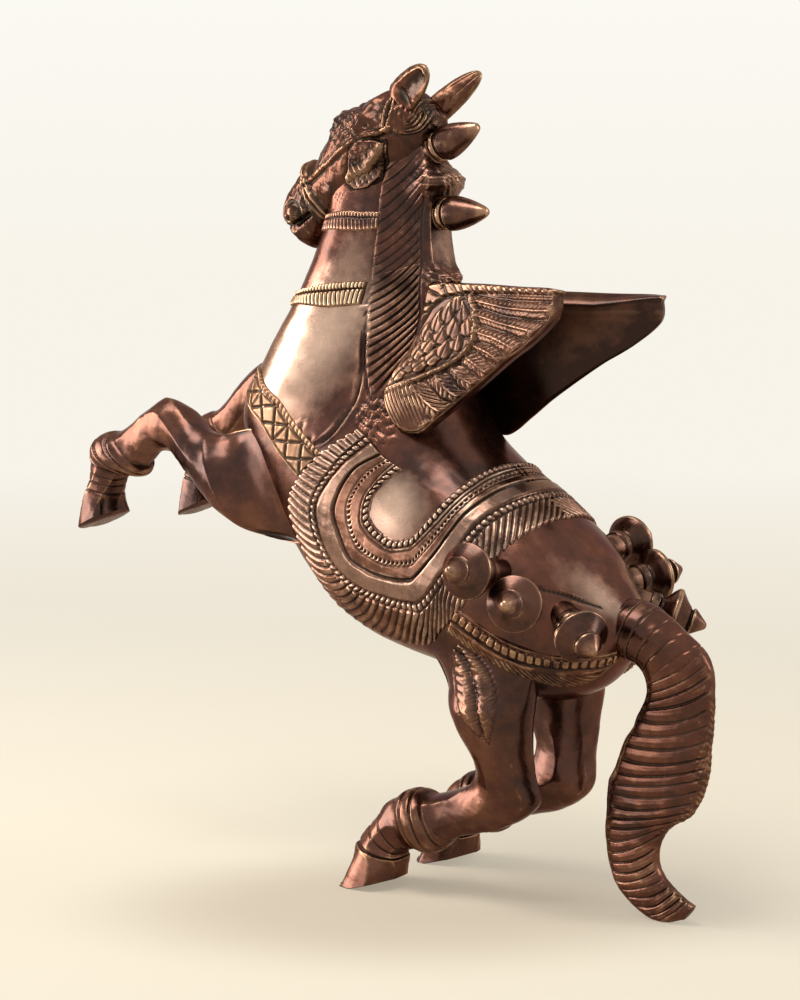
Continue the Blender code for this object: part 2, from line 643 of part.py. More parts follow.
def build_head(neck, neck_skin):
    """Head with its poll, ears, eyes, cheek leaves and nostrils, on a spigot in the neck."""
    at = trunk_stations(THROAT_SEAM, len(TRUNK) - 1)
    rings = sections(rib_values(TRUNK), at, TRUNK_SIDES)
    rings[0] += np.array(trunk_normal(THROAT_SEAM) * SEAM_GAP)
    throat = mesh_object("throat", grid_mesh("throat", rings), CUTTERS)
    skull_at = np.arange(0, len(SKULL) - 0.9, 0.5)
    skull_rings = sections(rib_values(SKULL), skull_at, SKULL_SIDES)
    patina = finish("head_patina", PATINA, 0.36, 0.9)
    head = mesh_object("head", grid_mesh("head", skull_rings), PARTS, patina)
    boolean(head, throat, "UNION")
    for side in (-1, 1):
        word = "left" if side < 0 else "right"
        build_ear(head, side)
        for feature, centre, radii, turn in HEAD_SWELLINGS:
            place = Vector((centre[0], side * centre[1], centre[2])) * MM
            size = [radius * MM for radius in radii]
            swelling = ellipsoid(f"{word}_{feature}", place, size, (0, math.radians(turn), 0))
            boolean(head, swelling, "UNION")
    boolean(head, neck_skin, "DIFFERENCE")
    peg(head, neck, trunk_middle(THROAT_SEAM), -trunk_normal(THROAT_SEAM), HEAD_SPIGOT_D, HEAD_SPIGOT_L)
    skins = []
    for name, ribs, stations, sides in (
        ("throat_skin", TRUNK, at, TRUNK_SIDES),
        ("skull_skin", SKULL, skull_at, SKULL_SIDES),
    ):
        grown = sections(rib_values(ribs), stations, sides, SKIN_GAP)
        skins.append(mesh_object(name, grid_mesh(name, grown), CUTTERS))
    return head, skins


def build_leg(name, ribs, side, lift, torso, torso_skin, seat, direction, diameter, length):
    """A leg casting cut to the torso's skin, its sole filed flat on the ground."""
    values = rib_values(ribs)
    values[:, 5] *= -side
    values[:, [1, 3]] += lift[:, None]
    rings = sections(values, np.linspace(0, len(ribs) - 1, LEG_RINGS), LEG_SIDES)
    leg = mesh_object(name, grid_mesh(name, rings), PARTS, finish(f"{name}_patina", PATINA, 0.32, 0.9))
    boolean(leg, torso_skin, "DIFFERENCE")
    boolean(leg, GROUND, "DIFFERENCE")
    seat = Vector((seat[0], side * seat[1], seat[2])) * MM
    direction = Vector((direction[0], side * direction[1], direction[2]))
    peg(leg, torso, seat, direction, diameter, length)
    return leg


def build_legs(torso, torso_skin):
    """Two raised forelegs and two standing hind legs."""
    beyond_knee = np.clip(np.arange(len(FORELEG)) - KNEE_RIB, 0, None)
    knee = np.exp(-((beyond_knee / KNEE_FADE_RIBS) ** 2))
    no_lift = np.zeros(len(HIND_LEG))
    for side, word in ((-1, "left"), (1, "right")):
        lift = knee * RIGHT_KNEE_LIFT * (side > 0)
        build_leg(
            f"{word}_foreleg", FORELEG, side, lift, torso, torso_skin,
            FORELEG_SEAT, FORELEG_SPIGOT_WAY, FORELEG_SPIGOT_D, FORELEG_SPIGOT_L,
        )
        build_leg(
            f"{word}_hind_leg", HIND_LEG, side, no_lift, torso, torso_skin,
            HIND_SEAT, HIND_SPIGOT_WAY, HIND_SPIGOT_D, HIND_SPIGOT_L,
        )


def build_tail(torso, torso_skin):
    """Tail with a ringed dock and a grooved blade; its curled tip is the third foot."""
    dock = np.linspace(0.6, 2.6, 2 * DOCK_GROOVES + 1)
    blade = np.linspace(2.8, len(TAIL) - 2, 2 * TAIL_GROOVES + 1)
    at = np.concatenate([[0, 0.3], dock, blade, [len(TAIL) - 1.5, len(TAIL) - 1]])
    dock_cut = DOCK_GROOVE_DEPTH * (np.arange(len(dock)) % 2)
    blade_cut = TAIL_GROOVE_DEPTH * (np.arange(len(blade)) % 2)
    grow = -np.concatenate([[0, 0], dock_cut, blade_cut, [0, 0]])
    rings = sections(rib_values(TAIL), at, TAIL_SIDES, grow)
    tail = mesh_object("tail", grid_mesh("tail", rings), PARTS, finish("tail_patina", PATINA, 0.36, 0.9))
    boolean(tail, torso_skin, "DIFFERENCE")
    boolean(tail, GROUND, "DIFFERENCE")
    peg(tail, torso, Vector(TAIL_SEAT) * MM, TAIL_SPIGOT_WAY, TAIL_SPIGOT_D, TAIL_SPIGOT_L)


def wing_edge(angles):
    """Distance from the fan's root to the wing's outline, in each direction in the plate."""
    corners = np.array(WING_OUTLINE, float) * MM
    count = len(corners)
    wrapped = np.vstack([corners[-2:], corners, corners[:3]])
    dense = spline(wrapped, np.linspace(2, count + 2, 40 * count, endpoint=False)) - np.array(FAN_ROOT) * MM
    bearing = np.arctan2(dense[:, 1], dense[:, 0])
    order = np.argsort(bearing)
    return np.interp(angles, bearing[order], np.hypot(dense[:, 0], dense[:, 1])[order], period=2 * math.pi)


def wing_relief(angles, share):
    """Height of the outer face: feathers on the trailing side, a border round the top and leading edge."""
    reach = wing_edge(angles)
    fan = (angles - FAN_START) / (FAN_END - FAN_START)
    in_fan = (fan > 0) & (fan < 1)
    feather = np.abs(np.sin(math.pi * FEATHER_COUNT * fan)) * in_fan
    feather = feather * np.clip((share - QUILL_FROM) / (QUILL_TO - QUILL_FROM), 0, 1)
    to_edge = reach * (1 - share)
    border = (to_edge < WING_BORDER_WIDTH) & ~in_fan
    return FEATHER_RELIEF * feather + WING_BORDER_RELIEF * border


def wing_root(side):
    """Root of this side's wing; the right one is set a little back and down."""
    back = TRUNK[WING_TRUNK_RIB]
    out = back.half_width * MM - WING_ROOT_INSET
    root = Vector((
        back.top[0] * MM - WING_ROOT_FORWARD, side * out, back.top[1] * MM - WING_ROOT_SINK,
    ))
    return root + Vector((RIGHT_WING_BACK, 0, -RIGHT_WING_DROP)) * (side > 0)


def wing_bevel(along, up):
    """How far the inner face stops short of the top edge, running out towards the tip."""
    near_top = np.clip((up - WING_BEVEL_FROM) / WING_BORDER_WIDTH, 0, 1)
    near_tip = np.clip((WING_BEVEL_TO - along) / WING_BEVEL_RUN_OUT, 0, 1)
    return WING_BEVEL * near_top * near_tip


def build_wing(side, torso, torso_skin, neck_skin):
    """A feathered plate dished over the shoulder, with a tenon in a slot of the torso."""
    word = "left" if side < 0 else "right"
    name = f"{word}_wing"
    fan = np.linspace(FAN_START, FAN_END, 2 * FEATHER_COUNT, endpoint=False)
    rest = np.linspace(FAN_END, FAN_START + 2 * math.pi, WING_REST_POINTS, endpoint=False)
    angles = np.concatenate([fan, rest])
    rings = []
    for share, is_outer in [(s, True) for s in WING_OUTER_RINGS] + [(s, False) for s in WING_INNER_RINGS]:
        reach = wing_edge(angles) * share
        along = FAN_ROOT[0] * MM + reach * np.cos(angles)
        up = FAN_ROOT[1] * MM + reach * np.sin(angles)
        dish = WING_DISH * np.exp(-(along**2 + up**2) / WING_DISH_RADIUS**2)
        out = dish + wing_relief(angles, share) if is_outer else dish - WING_THICKNESS
        if share == 1.0 and not is_outer:
            up = up - wing_bevel(along, up)
        rings.append(np.stack([along, -side * up, out], axis=-1))
    patina = finish(f"{name}_patina", PATINA, 0.4, 0.9)
    wing = mesh_object(name, grid_mesh(name, np.array(rings)), PARTS, patina)
    wing.location = wing_root(side)
    wing.rotation_euler = Euler((-side * (math.pi / 2 - WING_LEAN), 0, side * WING_SPLAY))
    boolean(wing, torso_skin, "DIFFERENCE")
    boolean(wing, neck_skin, "DIFFERENCE")
    tenon_and_slot(wing, torso, side)
    return wing


def tenon_and_slot(wing, torso, side):
    """A flat tongue on the wing's inner face, and the slot that takes it."""
    middle = wing_root(side) + Vector((TENON_BACK, side * TENON_OUT, -TENON_DOWN))
    depth = WING_TENON_DEPTH + WING_THICKNESS
    for kind, play, target, operation in (
        ("tenon", 0.0, wing, "UNION"),
        ("slot", SEAM_GAP, torso, "DIFFERENCE"),
    ):
        shape = bmesh.new()
        size = (WING_TENON_WIDTH + 2 * play, depth + play, WING_TENON_THICK + 2 * play)
        shift = Matrix.Translation((0, -side * play / 2, 0))
        bmesh.ops.create_cube(shape, size=1, matrix=shift @ Matrix.Diagonal((*size, 1)))
        mesh = bpy.data.meshes.new(f"{wing.name}_{kind}")
        shape.to_mesh(mesh)
        shape.free()
        made = mesh_object(mesh.name, mesh, CUTTERS)
        made.location = middle
        boolean(target, made, operation)


def turned(name, profile, target, material):
    """A turned piece: a profile of radius and height, from the top of its axis down its outer side."""
    mesh = bpy.data.meshes.new(name)
    verts = [(radius, 0, height) for radius, height in profile]
    mesh.from_pydata(verts, [(i, i + 1) for i in range(len(verts) - 1)], [])
    made = mesh_object(name, mesh, target, material)
    screw = made.modifiers.new("turn", "SCREW")
    screw.steps = KNOB_STEPS
    screw.render_steps = KNOB_STEPS
    screw.use_merge_vertices = True
    screw.merge_threshold = 0.01 * MM
    screw.use_smooth_shade = True
    return made


def place_on_axis(piece, start, direction):
    """Stand a turned piece at start with its own Z along direction."""
    piece.location = start
    piece.rotation_euler = Vector(direction).to_track_quat("Z", "Y").to_euler()


def knob_profile():
    """Rump knob from its tip down to the rim, the bowl, the foot and the stud's bore."""
    rim_top = KNOB_FOOT_L + KNOB_BOWL_L + KNOB_RIM_BAND
    shoulder = rim_top + KNOB_SHOULDER_L
    finial = shoulder + KNOB_GROOVE_L
    top = finial + KNOB_FINIAL_L
    bore = (STUD_D / 2 + SEAM_GAP, STUD_IN_KNOB + SEAM_GAP)
    return [
        (0, top), (KNOB_TIP_D / 2, top), (KNOB_FINIAL_D / 2, finial + KNOB_FINIAL_BAND),
        (KNOB_FINIAL_D / 2, finial), (KNOB_GROOVE_D / 2, shoulder + KNOB_GROOVE_L / 2),
        (KNOB_FINIAL_D / 2, shoulder), (KNOB_RIM_D / 2, rim_top), (KNOB_RIM_D / 2, rim_top - KNOB_RIM_BAND),
        ((KNOB_RIM_D + KNOB_WAIST_D) / 4 + KNOB_BOWL_FULLNESS, KNOB_FOOT_L + KNOB_BOWL_L / 2),
        (KNOB_WAIST_D / 2, KNOB_FOOT_L), (KNOB_FOOT_D / 2, KNOB_FOOT_L - KNOB_FOOT_CHAMFER),
        (KNOB_FOOT_D / 2, 0),
        (bore[0], 0), (bore[0], bore[1]), (0, bore[1]),
    ]


def build_rump_knobs(torso, torso_skin):
    """Three knobs a side, each on a collar fitted to the rump and screwed on a stud."""
    rim_height = KNOB_FOOT_L + KNOB_BOWL_L + KNOB_RIM_BAND
    for side, word in ((-1, "left"), (1, "right")):
        for number, (rim, way) in enumerate(RUMP_KNOBS, 1):
            rim = Vector((rim[0], -side * rim[1], rim[2])) * MM
            way = Vector((way[0], -side * way[1], way[2])).normalized()
            foot = rim - way * rim_height
            knob = turned(
                f"{word}_rump_knob_{number}", knob_profile(), PARTS,
                finish(f"{word}_rump_knob_{number}_patina", PATINA, 0.28, 0.9),
            )
            place_on_axis(knob, foot, way)
            name = f"{word}_rump_{number}"
            seat_knob(name, foot, way, KNOB_COLLAR_D, KNOB_COLLAR_L, STUD_IN_KNOB, torso, [torso_skin])


def seat_knob(name, foot, way, collar_d, collar_l, in_knob, casting, skins):
    """Collar, stud and stud hole under a knob whose foot stands at foot."""
    bore_d = STUD_D + 2 * SEAM_GAP
    sawn = collar_l + COLLAR_SPARE
    material = finish(f"{name}_collar_patina", PATINA, 0.34, 0.9)
    start = foot - way * sawn
    collar = cylinder_part(f"{name}_collar", start, way, collar_d, sawn - SEAM_GAP, material, COLLAR_SIDES)
    for skin in skins:
        boolean(collar, skin, "DIFFERENCE")
    hole = cylinder(f"{name}_collar_hole", foot - way * 2 * sawn, way, bore_d, 3 * sawn, STUD_SIDES)
    boolean(collar, hole, "DIFFERENCE")
    brass = finish(f"{name}_stud_brass", BRIGHT_BRASS, 0.3, 1.0)
    bottom = foot - way * (collar_l + STUD_IN_BODY)
    length = collar_l + STUD_IN_BODY + in_knob
    cylinder_part(f"{name}_stud", bottom, way, STUD_D, length, brass, STUD_SIDES)
    tapped = cylinder(f"{name}_stud_hole", bottom - way * SEAM_GAP, way, bore_d, length, STUD_SIDES)
    boolean(casting, tapped, "DIFFERENCE")


def cylinder_part(name, start, direction, diameter, length, material, sides):
    """A plain round piece from a point along a direction."""
    made = cylinder(name, start, direction, diameter, length, sides)
    CUTTERS.objects.unlink(made)
    PARTS.objects.link(made)
    made.hide_render = False
    made.display_type = "TEXTURED"
    made.data.materials.append(material)
    made.data.shade_smooth()
    made.data.set_sharp_from_angle(angle=math.radians(40))
    return made


def mane_knob_profile():
    """Mane knob from its tip down the bullet to the grooved neck, with the stud's bore."""
    band = MANE_NECK_L + MANE_BAND_L
    top = band + MANE_BULLET_L
    bore = (STUD_D / 2 + SEAM_GAP, MANE_STUD_IN_KNOB + SEAM_GAP)
    curve = []
    for share in (1.0, 0.8, 0.55, 0.3, 0.0):
        radius = MANE_TIP_D / 2 + (MANE_BULLET_D - MANE_TIP_D) / 2 * (1 - share**MANE_OGIVE)
        curve.append((radius, band + share * MANE_BULLET_L))
    return [
        (0, top), *curve,
        (MANE_BULLET_D / 2, MANE_NECK_L), (MANE_NECK_D / 2, MANE_NECK_L), (MANE_NECK_D / 2, 0),
        (bore[0], 0), (bore[0], bore[1]), (0, bore[1]),
    ]


def build_mane_knobs(castings):
    """Two bullet-shaped knobs on the back of the neck, each on a ring collar and a stud."""
    for word, (base, way), (casting, skins) in zip(("upper", "lower"), MANE_KNOBS, castings):
        way = Vector(way).normalized()
        foot = Vector(base) * MM + way * MANE_COLLAR_L
        knob = turned(
            f"{word}_mane_knob", mane_knob_profile(), PARTS,
            finish(f"{word}_mane_knob_patina", PATINA, 0.26, 0.9),
        )
        place_on_axis(knob, foot, way)
        name = f"{word}_mane"
        seat_knob(name, foot, way, MANE_COLLAR_D, MANE_COLLAR_L, MANE_STUD_IN_KNOB, casting, skins)


def settle():
    """Move the base so that the statue's outline is centred over the origin."""
    bpy.context.view_layer.update()
    graph = bpy.context.evaluated_depsgraph_get()
    corners = []
    for piece in PARTS.objects:
        if piece.type != "MESH":
            continue
        shown = piece.evaluated_get(graph)
        points = np.empty(3 * len(shown.data.vertices))
        shown.data.vertices.foreach_get("co", points)
        turn = np.array(shown.matrix_world.to_3x3())
        placed = points.reshape(-1, 3) @ turn.T + np.array(shown.matrix_world.translation)
        corners += [placed.min(axis=0), placed.max(axis=0)]
    low = np.min(corners, axis=0)
    high = np.max(corners, axis=0)
    BASE.location = (-(low[0] + high[0]) / 2, -(low[1] + high[1]) / 2, 0)
    bpy.context.view_layer.update()
    print("size in millimetres", np.round((high - low) / MM, 2))
    print("base moved", np.round(BASE.location.x / MM, 3))


for leftover in list(bpy.data.objects):
    bpy.data.objects.remove(leftover, do_unlink=True)
PARTS = collection("winged_horse_statue")
CUTTERS = collection("cutters")
BASE = bpy.data.objects.new("statue_base", None)
PARTS.objects.link(BASE)
GROUND = cylinder("ground", (0, 0, -GROUND_DEPTH), (0, 0, 1), GROUND_D, GROUND_DEPTH)

torso, torso_skin = build_torso()
neck, neck_skin = build_neck(torso)
head, head_skins = build_head(neck, neck_skin)
build_legs(torso, torso_skin)
build_tail(torso, torso_skin)
for side in (-1, 1):
    build_wing(side, torso, torso_skin, neck_skin)
build_rump_knobs(torso, torso_skin)
build_mane_knobs([(head, head_skins), (neck, [neck_skin])])
settle()
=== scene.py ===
import math
import bpy
import numpy as np
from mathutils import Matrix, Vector


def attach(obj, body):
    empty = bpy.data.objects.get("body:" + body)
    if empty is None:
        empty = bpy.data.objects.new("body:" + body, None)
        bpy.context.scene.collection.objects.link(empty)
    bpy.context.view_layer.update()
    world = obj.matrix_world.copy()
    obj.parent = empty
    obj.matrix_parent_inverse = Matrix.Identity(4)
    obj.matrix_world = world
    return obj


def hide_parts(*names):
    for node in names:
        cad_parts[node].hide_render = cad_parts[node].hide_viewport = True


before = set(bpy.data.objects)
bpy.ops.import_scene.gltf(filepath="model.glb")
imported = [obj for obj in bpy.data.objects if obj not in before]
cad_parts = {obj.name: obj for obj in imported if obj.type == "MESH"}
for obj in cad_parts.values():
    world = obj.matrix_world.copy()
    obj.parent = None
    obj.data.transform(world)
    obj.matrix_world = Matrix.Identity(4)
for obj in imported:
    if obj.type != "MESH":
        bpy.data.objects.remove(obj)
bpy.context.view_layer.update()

# Camera: a long lens just under a metre away, a little above the level of the girth,
# on the statue's left and somewhat behind its middle.
CAMERA_TURN = math.radians(38.0)
CAMERA_RISE = math.radians(6.3)
CAMERA_DISTANCE = 0.95
CAMERA_AIM = Vector((-0.0004, 0.0, 0.143))
CAMERA_LENS = 90.0
SENSOR_WIDTH = 36.0
NEAREST_SEEN = 0.05

camera = bpy.data.objects.new("camera", bpy.data.cameras.new("camera"))
bpy.context.scene.collection.objects.link(camera)
camera.data.lens = CAMERA_LENS
camera.data.sensor_width = SENSOR_WIDTH
camera.data.clip_start = NEAREST_SEEN
camera_back = Vector((
    math.sin(CAMERA_TURN) * math.cos(CAMERA_RISE),
    -math.cos(CAMERA_TURN) * math.cos(CAMERA_RISE),
    math.sin(CAMERA_RISE),
))
camera.location = CAMERA_AIM + camera_back * CAMERA_DISTANCE
camera.rotation_euler = (-camera_back).to_track_quat("-Z", "Y").to_euler()
bpy.context.scene.camera = camera
bpy.context.scene.view_settings.view_transform = "Standard"

# Lamps: a large soft box in front of the horse, one over its back, and weak ones behind and low
# in front. Each has its place, its size in metres and its watts.
LAMPS = {
    "key_lamp": ((-0.95, -0.42, 0.34), (0.55, 0.75), 15.0),
    "top_lamp": ((-0.15, -0.35, 1.05), (0.7, 0.35), 8.0),
    "rim_lamp": ((0.85, 0.55, 0.55), (0.3, 0.5), 3.0),
    "fill_lamp": ((-0.62, -0.80, 0.04), (0.6, 0.5), 3.5),
}
LAMP_AIM = Vector((0.0, 0.0, 0.15))
LAMP_TINT = (1.0, 0.97, 0.93)

for name, (place, size, watts) in LAMPS.items():
    lamp = bpy.data.lights.new(name, "AREA")
    lamp.shape = "RECTANGLE"
    lamp.size, lamp.size_y = size
    lamp.energy = watts
    lamp.color = LAMP_TINT
    hung = bpy.data.objects.new(name, lamp)
    hung.location = place
    hung.rotation_euler = (LAMP_AIM - Vector(place)).to_track_quat("-Z", "Y").to_euler()
    bpy.context.scene.collection.objects.link(hung)

# Room: a cream ground that is darker near the statue's feet, and a paler cream all round.
# The eye and reflections see the cream; the light that the room gives is plain and weaker.
GROUND_RADIUS = 4.0
GROUND_SIDES = 96
CREAM_NEAR = (0.80, 0.725, 0.585)
CREAM_FAR = (0.935, 0.90, 0.82)
CREAM_TOP = (0.975, 0.96, 0.915)
ROOM_LIGHT = 0.42
ROOM_TINT = (1.0, 0.985, 0.96, 1.0)
# A soft pool of painted shadow in the paper's colour under the statue, a little towards the camera
CREAM_SHADE = (0.60, 0.515, 0.40)
SHADE_PLACE = (0.035, -0.045, 0.0)
SHADE_HALF = (0.15, 0.10, 1.0)


def node(tree, kind, inputs=None, **settings):
    """Add a shader node; each of its inputs is set to a value, or linked when it is given a socket."""
    made = tree.nodes.new("ShaderNode" + kind)
    for key, value in settings.items():
        setattr(made, key, value)
    for key, value in (inputs or {}).items():
        if isinstance(value, bpy.types.NodeSocket):
            tree.links.new(value, made.inputs[key])
        else:
            made.inputs[key].default_value = value
    return made


def mixed(tree, share, first, second):
    """Colour between first and second, by share."""
    first, second = (value if isinstance(value, bpy.types.NodeSocket) else (*value, 1.0)
                     for value in (first, second))
    return node(tree, "Mix", {0: share, 6: first, 7: second}, data_type="RGBA").outputs[2]


def spread(tree, value, low, high, start=0.0, end=1.0, way="LINEAR"):
    """Ramp from start at low to end at high, held beyond both."""
    inputs = {0: value, 1: low, 2: high, 3: start, 4: end}
    return node(tree, "MapRange", inputs, interpolation_type=way).outputs[0]


def maths(tree, operation, first, second):
    """One sum on two values."""
    return node(tree, "Math", {0: first, 1: second}, operation=operation).outputs[0]


def summed(tree, start, *terms):
    """Start, plus each value times its weight."""
    for value, weight in terms:
        start = node(tree, "Math", {0: value, 1: weight, 2: start}, operation="MULTIPLY_ADD").outputs[0]
    return start


def length_of(tree, vector):
    """Length of a vector."""
    return node(tree, "VectorMath", {0: vector}, operation="LENGTH").outputs[1]


def shown_to(tree, *rays):
    """1 for rays of these kinds and 0 for the others."""
    kinds = node(tree, "LightPath").outputs
    share = kinds[rays[0]]
    for ray in rays[1:]:
        share = maths(tree, "MAXIMUM", share, kinds[ray])
    return share


def full_turn(sides):
    """Angles of this many even steps round a circle."""
    return np.linspace(0, 2 * math.pi, sides, endpoint=False)


world = bpy.data.worlds.new("pale_room")
world.use_nodes = True
bpy.context.scene.world = world
tree = world.node_tree
direction = node(tree, "SeparateXYZ", {0: node(tree, "TexCoord").outputs["Generated"]}).outputs["Z"]
room = mixed(tree, spread(tree, direction, -0.02, 0.12), CREAM_FAR, CREAM_TOP)
shown = shown_to(tree, "Is Camera Ray", "Is Glossy Ray", "Is Transmission Ray")
background = node(tree, "Background", {0: room, 1: 1.0})
plain = tree.nodes["Background"]
plain.inputs[0].default_value = ROOM_TINT
plain.inputs[1].default_value = ROOM_LIGHT
either = node(tree, "MixShader", {0: shown, 1: plain.outputs[0], 2: background.outputs[0]})
tree.links.new(either.outputs[0], tree.nodes["World Output"].inputs[0])

turn = full_turn(GROUND_SIDES)
rim = np.stack([np.cos(turn), np.sin(turn), 0 * turn], -1) * GROUND_RADIUS
ground_mesh = bpy.data.meshes.new("ground")
ground_mesh.from_pydata(rim.tolist(), [], [list(range(GROUND_SIDES))])
ground = bpy.data.objects.new("ground", ground_mesh)
bpy.context.scene.collection.objects.link(ground)
paper = bpy.data.materials.new("cream_paper")
paper.use_nodes = True
tree = paper.node_tree
place = node(tree, "TexCoord").outputs["Object"]
away = length_of(tree, place)
# Painted shadow: the paper's cream is darkened towards CREAM_SHADE in a soft oval under the statue.
under = node(tree, "Mapping", {
    "Vector": place, "Location": SHADE_PLACE, "Rotation": (0.0, 0.0, CAMERA_TURN), "Scale": SHADE_HALF,
}, vector_type="TEXTURE").outputs[0]
under = spread(tree, length_of(tree, under), 0.25, 1.0, 1.0, 0.0, "SMOOTHERSTEP")
cream = mixed(tree, spread(tree, away, 0.1, 1.6), CREAM_NEAR, CREAM_FAR)
cream = mixed(tree, maths(tree, "MULTIPLY", under, 0.85), cream, CREAM_SHADE)
lit = tree.nodes["Principled BSDF"]
lit.inputs["Roughness"].default_value = 0.9
lit.inputs["Specular IOR Level"].default_value = 0.1
tree.links.new(cream, lit.inputs["Base Color"])
glow = node(tree, "Emission", {0: cream, 1: 1.0})
shown = shown_to(tree, "Is Camera Ray", "Is Glossy Ray")
share = maths(tree, "MULTIPLY", shown, spread(tree, away, 0.12, 0.75, 0.55, 1.0))
either = node(tree, "MixShader", {0: share, 1: lit.outputs[0], 2: glow.outputs[0]})
tree.links.new(either.outputs[0], tree.nodes["Material Output"].inputs[0])
ground_mesh.materials.append(paper)

# Torso: the hollow barrel, breast and rump, one casting in brass under a brown patina, rubbed in places and
# with painted highlights on the bib, the seat and the rump; everything else is seated in it.
MM = 0.001
HOOVES_X = 3.604
SIDES = (("left", False), ("right", True))
# Ribs from the dock to the throat: under x z, top x z, half width, and more as ribs() says
TRUNK = [
    (99, 92, 104, 103, 6), (88, 81, 103, 110, 15), (72, 75, 95, 120, 26.5), (50, 77, 83, 134, 35, 0, 2.2),
    (28, 84, 66, 147, 38, 0, 2.2), (8, 88, 50, 158, 38, 0, 2.2), (-10, 93, 38, 168, 38),
    (-26, 102, 31, 176, 37.5), (-41, 118, 27, 184, 37, 0, 2.1, 0.05, 0.00),
    (-55, 138, 24, 192, 36, 0, 2.1, 0.12, 0.01), (-65, 157, 21.5, 200, 34, 0, 2.1, 0.20, 0.03),
    (-68, 174, 19.5, 208, 32, 0, 2.1, 0.27, 0.05), (-60.5, 190, 18, 216, 28, 0, 2.1, 0.33, 0.07),
    (-53, 203, 17, 225, 24, 0, 2.2, 0.37, 0.09), (-44.5, 216, 16.5, 234, 20.5, 0, 2.3, 0.40, 0.11),
    (-38, 230, 15.5, 243, 17.5, 0, 2.3, 0.36, 0.12), (-32.5, 244, 15, 255, 16, 0, 2.3, 0.34, 0.12),
    (-28.5, 258, 13, 268, 15.5, 0, 2.3, 0.26, 0.10), (-25, 270, 10, 281, 16, 0, 2.2, 0.20, 0.05),
]
NECK_SEAM = 13.9
# Places along and round the torso: closest where the mane is carved
TORSO_ALONG = np.concatenate([
    np.linspace(0, 8.5, 120, endpoint=False), np.linspace(8.5, NECK_SEAM + 0.08, 230),
])
TORSO_CLIMBS = np.concatenate([
    np.linspace(-90, 22, 52, endpoint=False), np.linspace(22, 60, 58, endpoint=False),
    np.linspace(60, 90, 12, endpoint=False),
])
# Mane: climb of its front edge and of the line behind it, by rib number, and the combed locks between
MANE_RIBS = (8.6, 9.2, 9.9, 10.75, 11.9, 13.1, 13.9, 14.95, 15.7, 16.4, 17.06, 17.7)
MANE_FRONT = (33, 31.6, 29.4, 28.7, 25.2, 17.7, 13.9, 10.7, 9.4, 9.2, 13.1, 19.5)
MANE_BACK = (44, 47, 51, 56, 57.2, 53, 51.2, 49.3, 49.4, 54, 68, 74)
LOCK_PITCH = 0.35
LOCK_RISE = 1.0
LOCK_DEPTH = 0.6
MANE_LINE_DEPTH = 0.55
# Rough lumps left behind the neck, in the side view: place, size and height of each
NECK_LUMPS = (((14.5, 262.5), 6.0, 7.6), ((17.0, 226.5), 4.6, 3.4))
# Chased lines, as pairs of rib and climb: the bib's edge and the ledge over the haunch; and the middle of
# the chiselled patch by the wing
BIB_EDGE = ((9.72, -4), (9.10, 0.3), (9.08, 11), (9.47, 22), (10.12, 26.6), (11.15, 26.8), (12.73, 19))
HAUNCH_LEDGE = ((2.74, 35), (2.45, 41.5), (2.10, 48), (1.68, 55.5))
ROUGH_PATCH = (8.55, 33)
# Unevenness of a hand-filed casting: wave lengths in millimetres and the share of each
FILED_WAVES = ((15.0, 1.0), (6.1, 0.34), (2.7, 0.13))
# Tones of the patina: in the hollows, dark, warm, rubbed, which also colours the painted highlights, and
# worn through
TORSO_TONES = ((0.018, 0.013, 0.010), (0.042, 0.020, 0.016), (0.126, 0.045, 0.027),
               (0.520, 0.350, 0.260), (0.380, 0.210, 0.130))
# Tint of the patina seen along the surface, where a bare metal would turn white
EDGE_TINT = (0.52, 0.36, 0.28, 1.0)
GRAIN_SIZE = 0.0009


def spline(rows, at):
    """Curve through rows at fractional row numbers: cubics whose slope at a row is half the step
    between its two neighbours."""
    rows = np.asarray(rows, float)
    at = np.asarray(at, float)
    low = np.clip(np.floor(at).astype(int), 0, len(rows) - 2)
    part = (at - low)[..., None]
    padded = np.vstack([2 * rows[0] - rows[1], rows, 2 * rows[-1] - rows[-2]])
    a, b, c, d = (padded[low + step] for step in range(4))
    return b + part / 2 * (c - a + part * (2 * a - 5 * b + 4 * c - d + part * (3 * b - a - 3 * c + d)))


def ribs(rows):
    """Rib table: under x z, top x z, half width, middle across, squareness, pinch and flat of the top,
    with the usual values filled in."""
    usual = (0, 0, 0, 0, 0, 0, 2.1, 0, 0)
    return np.array([tuple(row) + usual[len(row):] for row in rows], float)


def to_power(value, power):
    """A value raised to a power with its sign kept."""
    return np.sign(value) * np.abs(value) ** power


def around(table, at, turn):
    """Points on a rib table's skin: a superellipse across each rib, narrower above by its pinch and cut
    flat at its top. turn is 0 on the right, a quarter turn on the back, a half turn on the left."""
    under_x, under_z, top_x, top_z, half, middle, square, pinch, flat = np.moveaxis(spline(table, at), -1, 0)
    across = to_power(np.cos(turn), 2 / square)
    height = to_power(np.sin(turn), 2 / square)
    lifted = np.minimum(height / (1 - flat), 1.0)
    x = (under_x + top_x) / 2 + (top_x - under_x) / 2 * lifted
    z = (under_z + top_z) / 2 + (top_z - under_z) / 2 * lifted
    return np.stack([x + HOOVES_X, middle + half * across * (1 - pinch * height), z], -1)


def skin(table, at, turn):
    """Points on a rib table's skin and the unit normals there, from small steps along and round it."""
    at, turn = np.broadcast_arrays(np.asarray(at, float), np.asarray(turn, float))
    here = around(table, at, turn)
    normal = np.cross(around(table, at + 0.004, turn) - here, around(table, at, turn + 0.004) - here)
    normal /= np.maximum(np.linalg.norm(normal, axis=-1, keepdims=True), 1e-12)
    rib = np.moveaxis(spline(table, at), -1, 0)
    middle = np.stack([(rib[0] + rib[2]) / 2 + HOOVES_X, rib[5], (rib[1] + rib[3]) / 2], -1)
    return here, normal * np.sign(np.sum(normal * (here - middle), -1, keepdims=True))


def raised(points, normal, height):
    """Points moved along their normals by a height."""
    return points + normal * height[..., None]


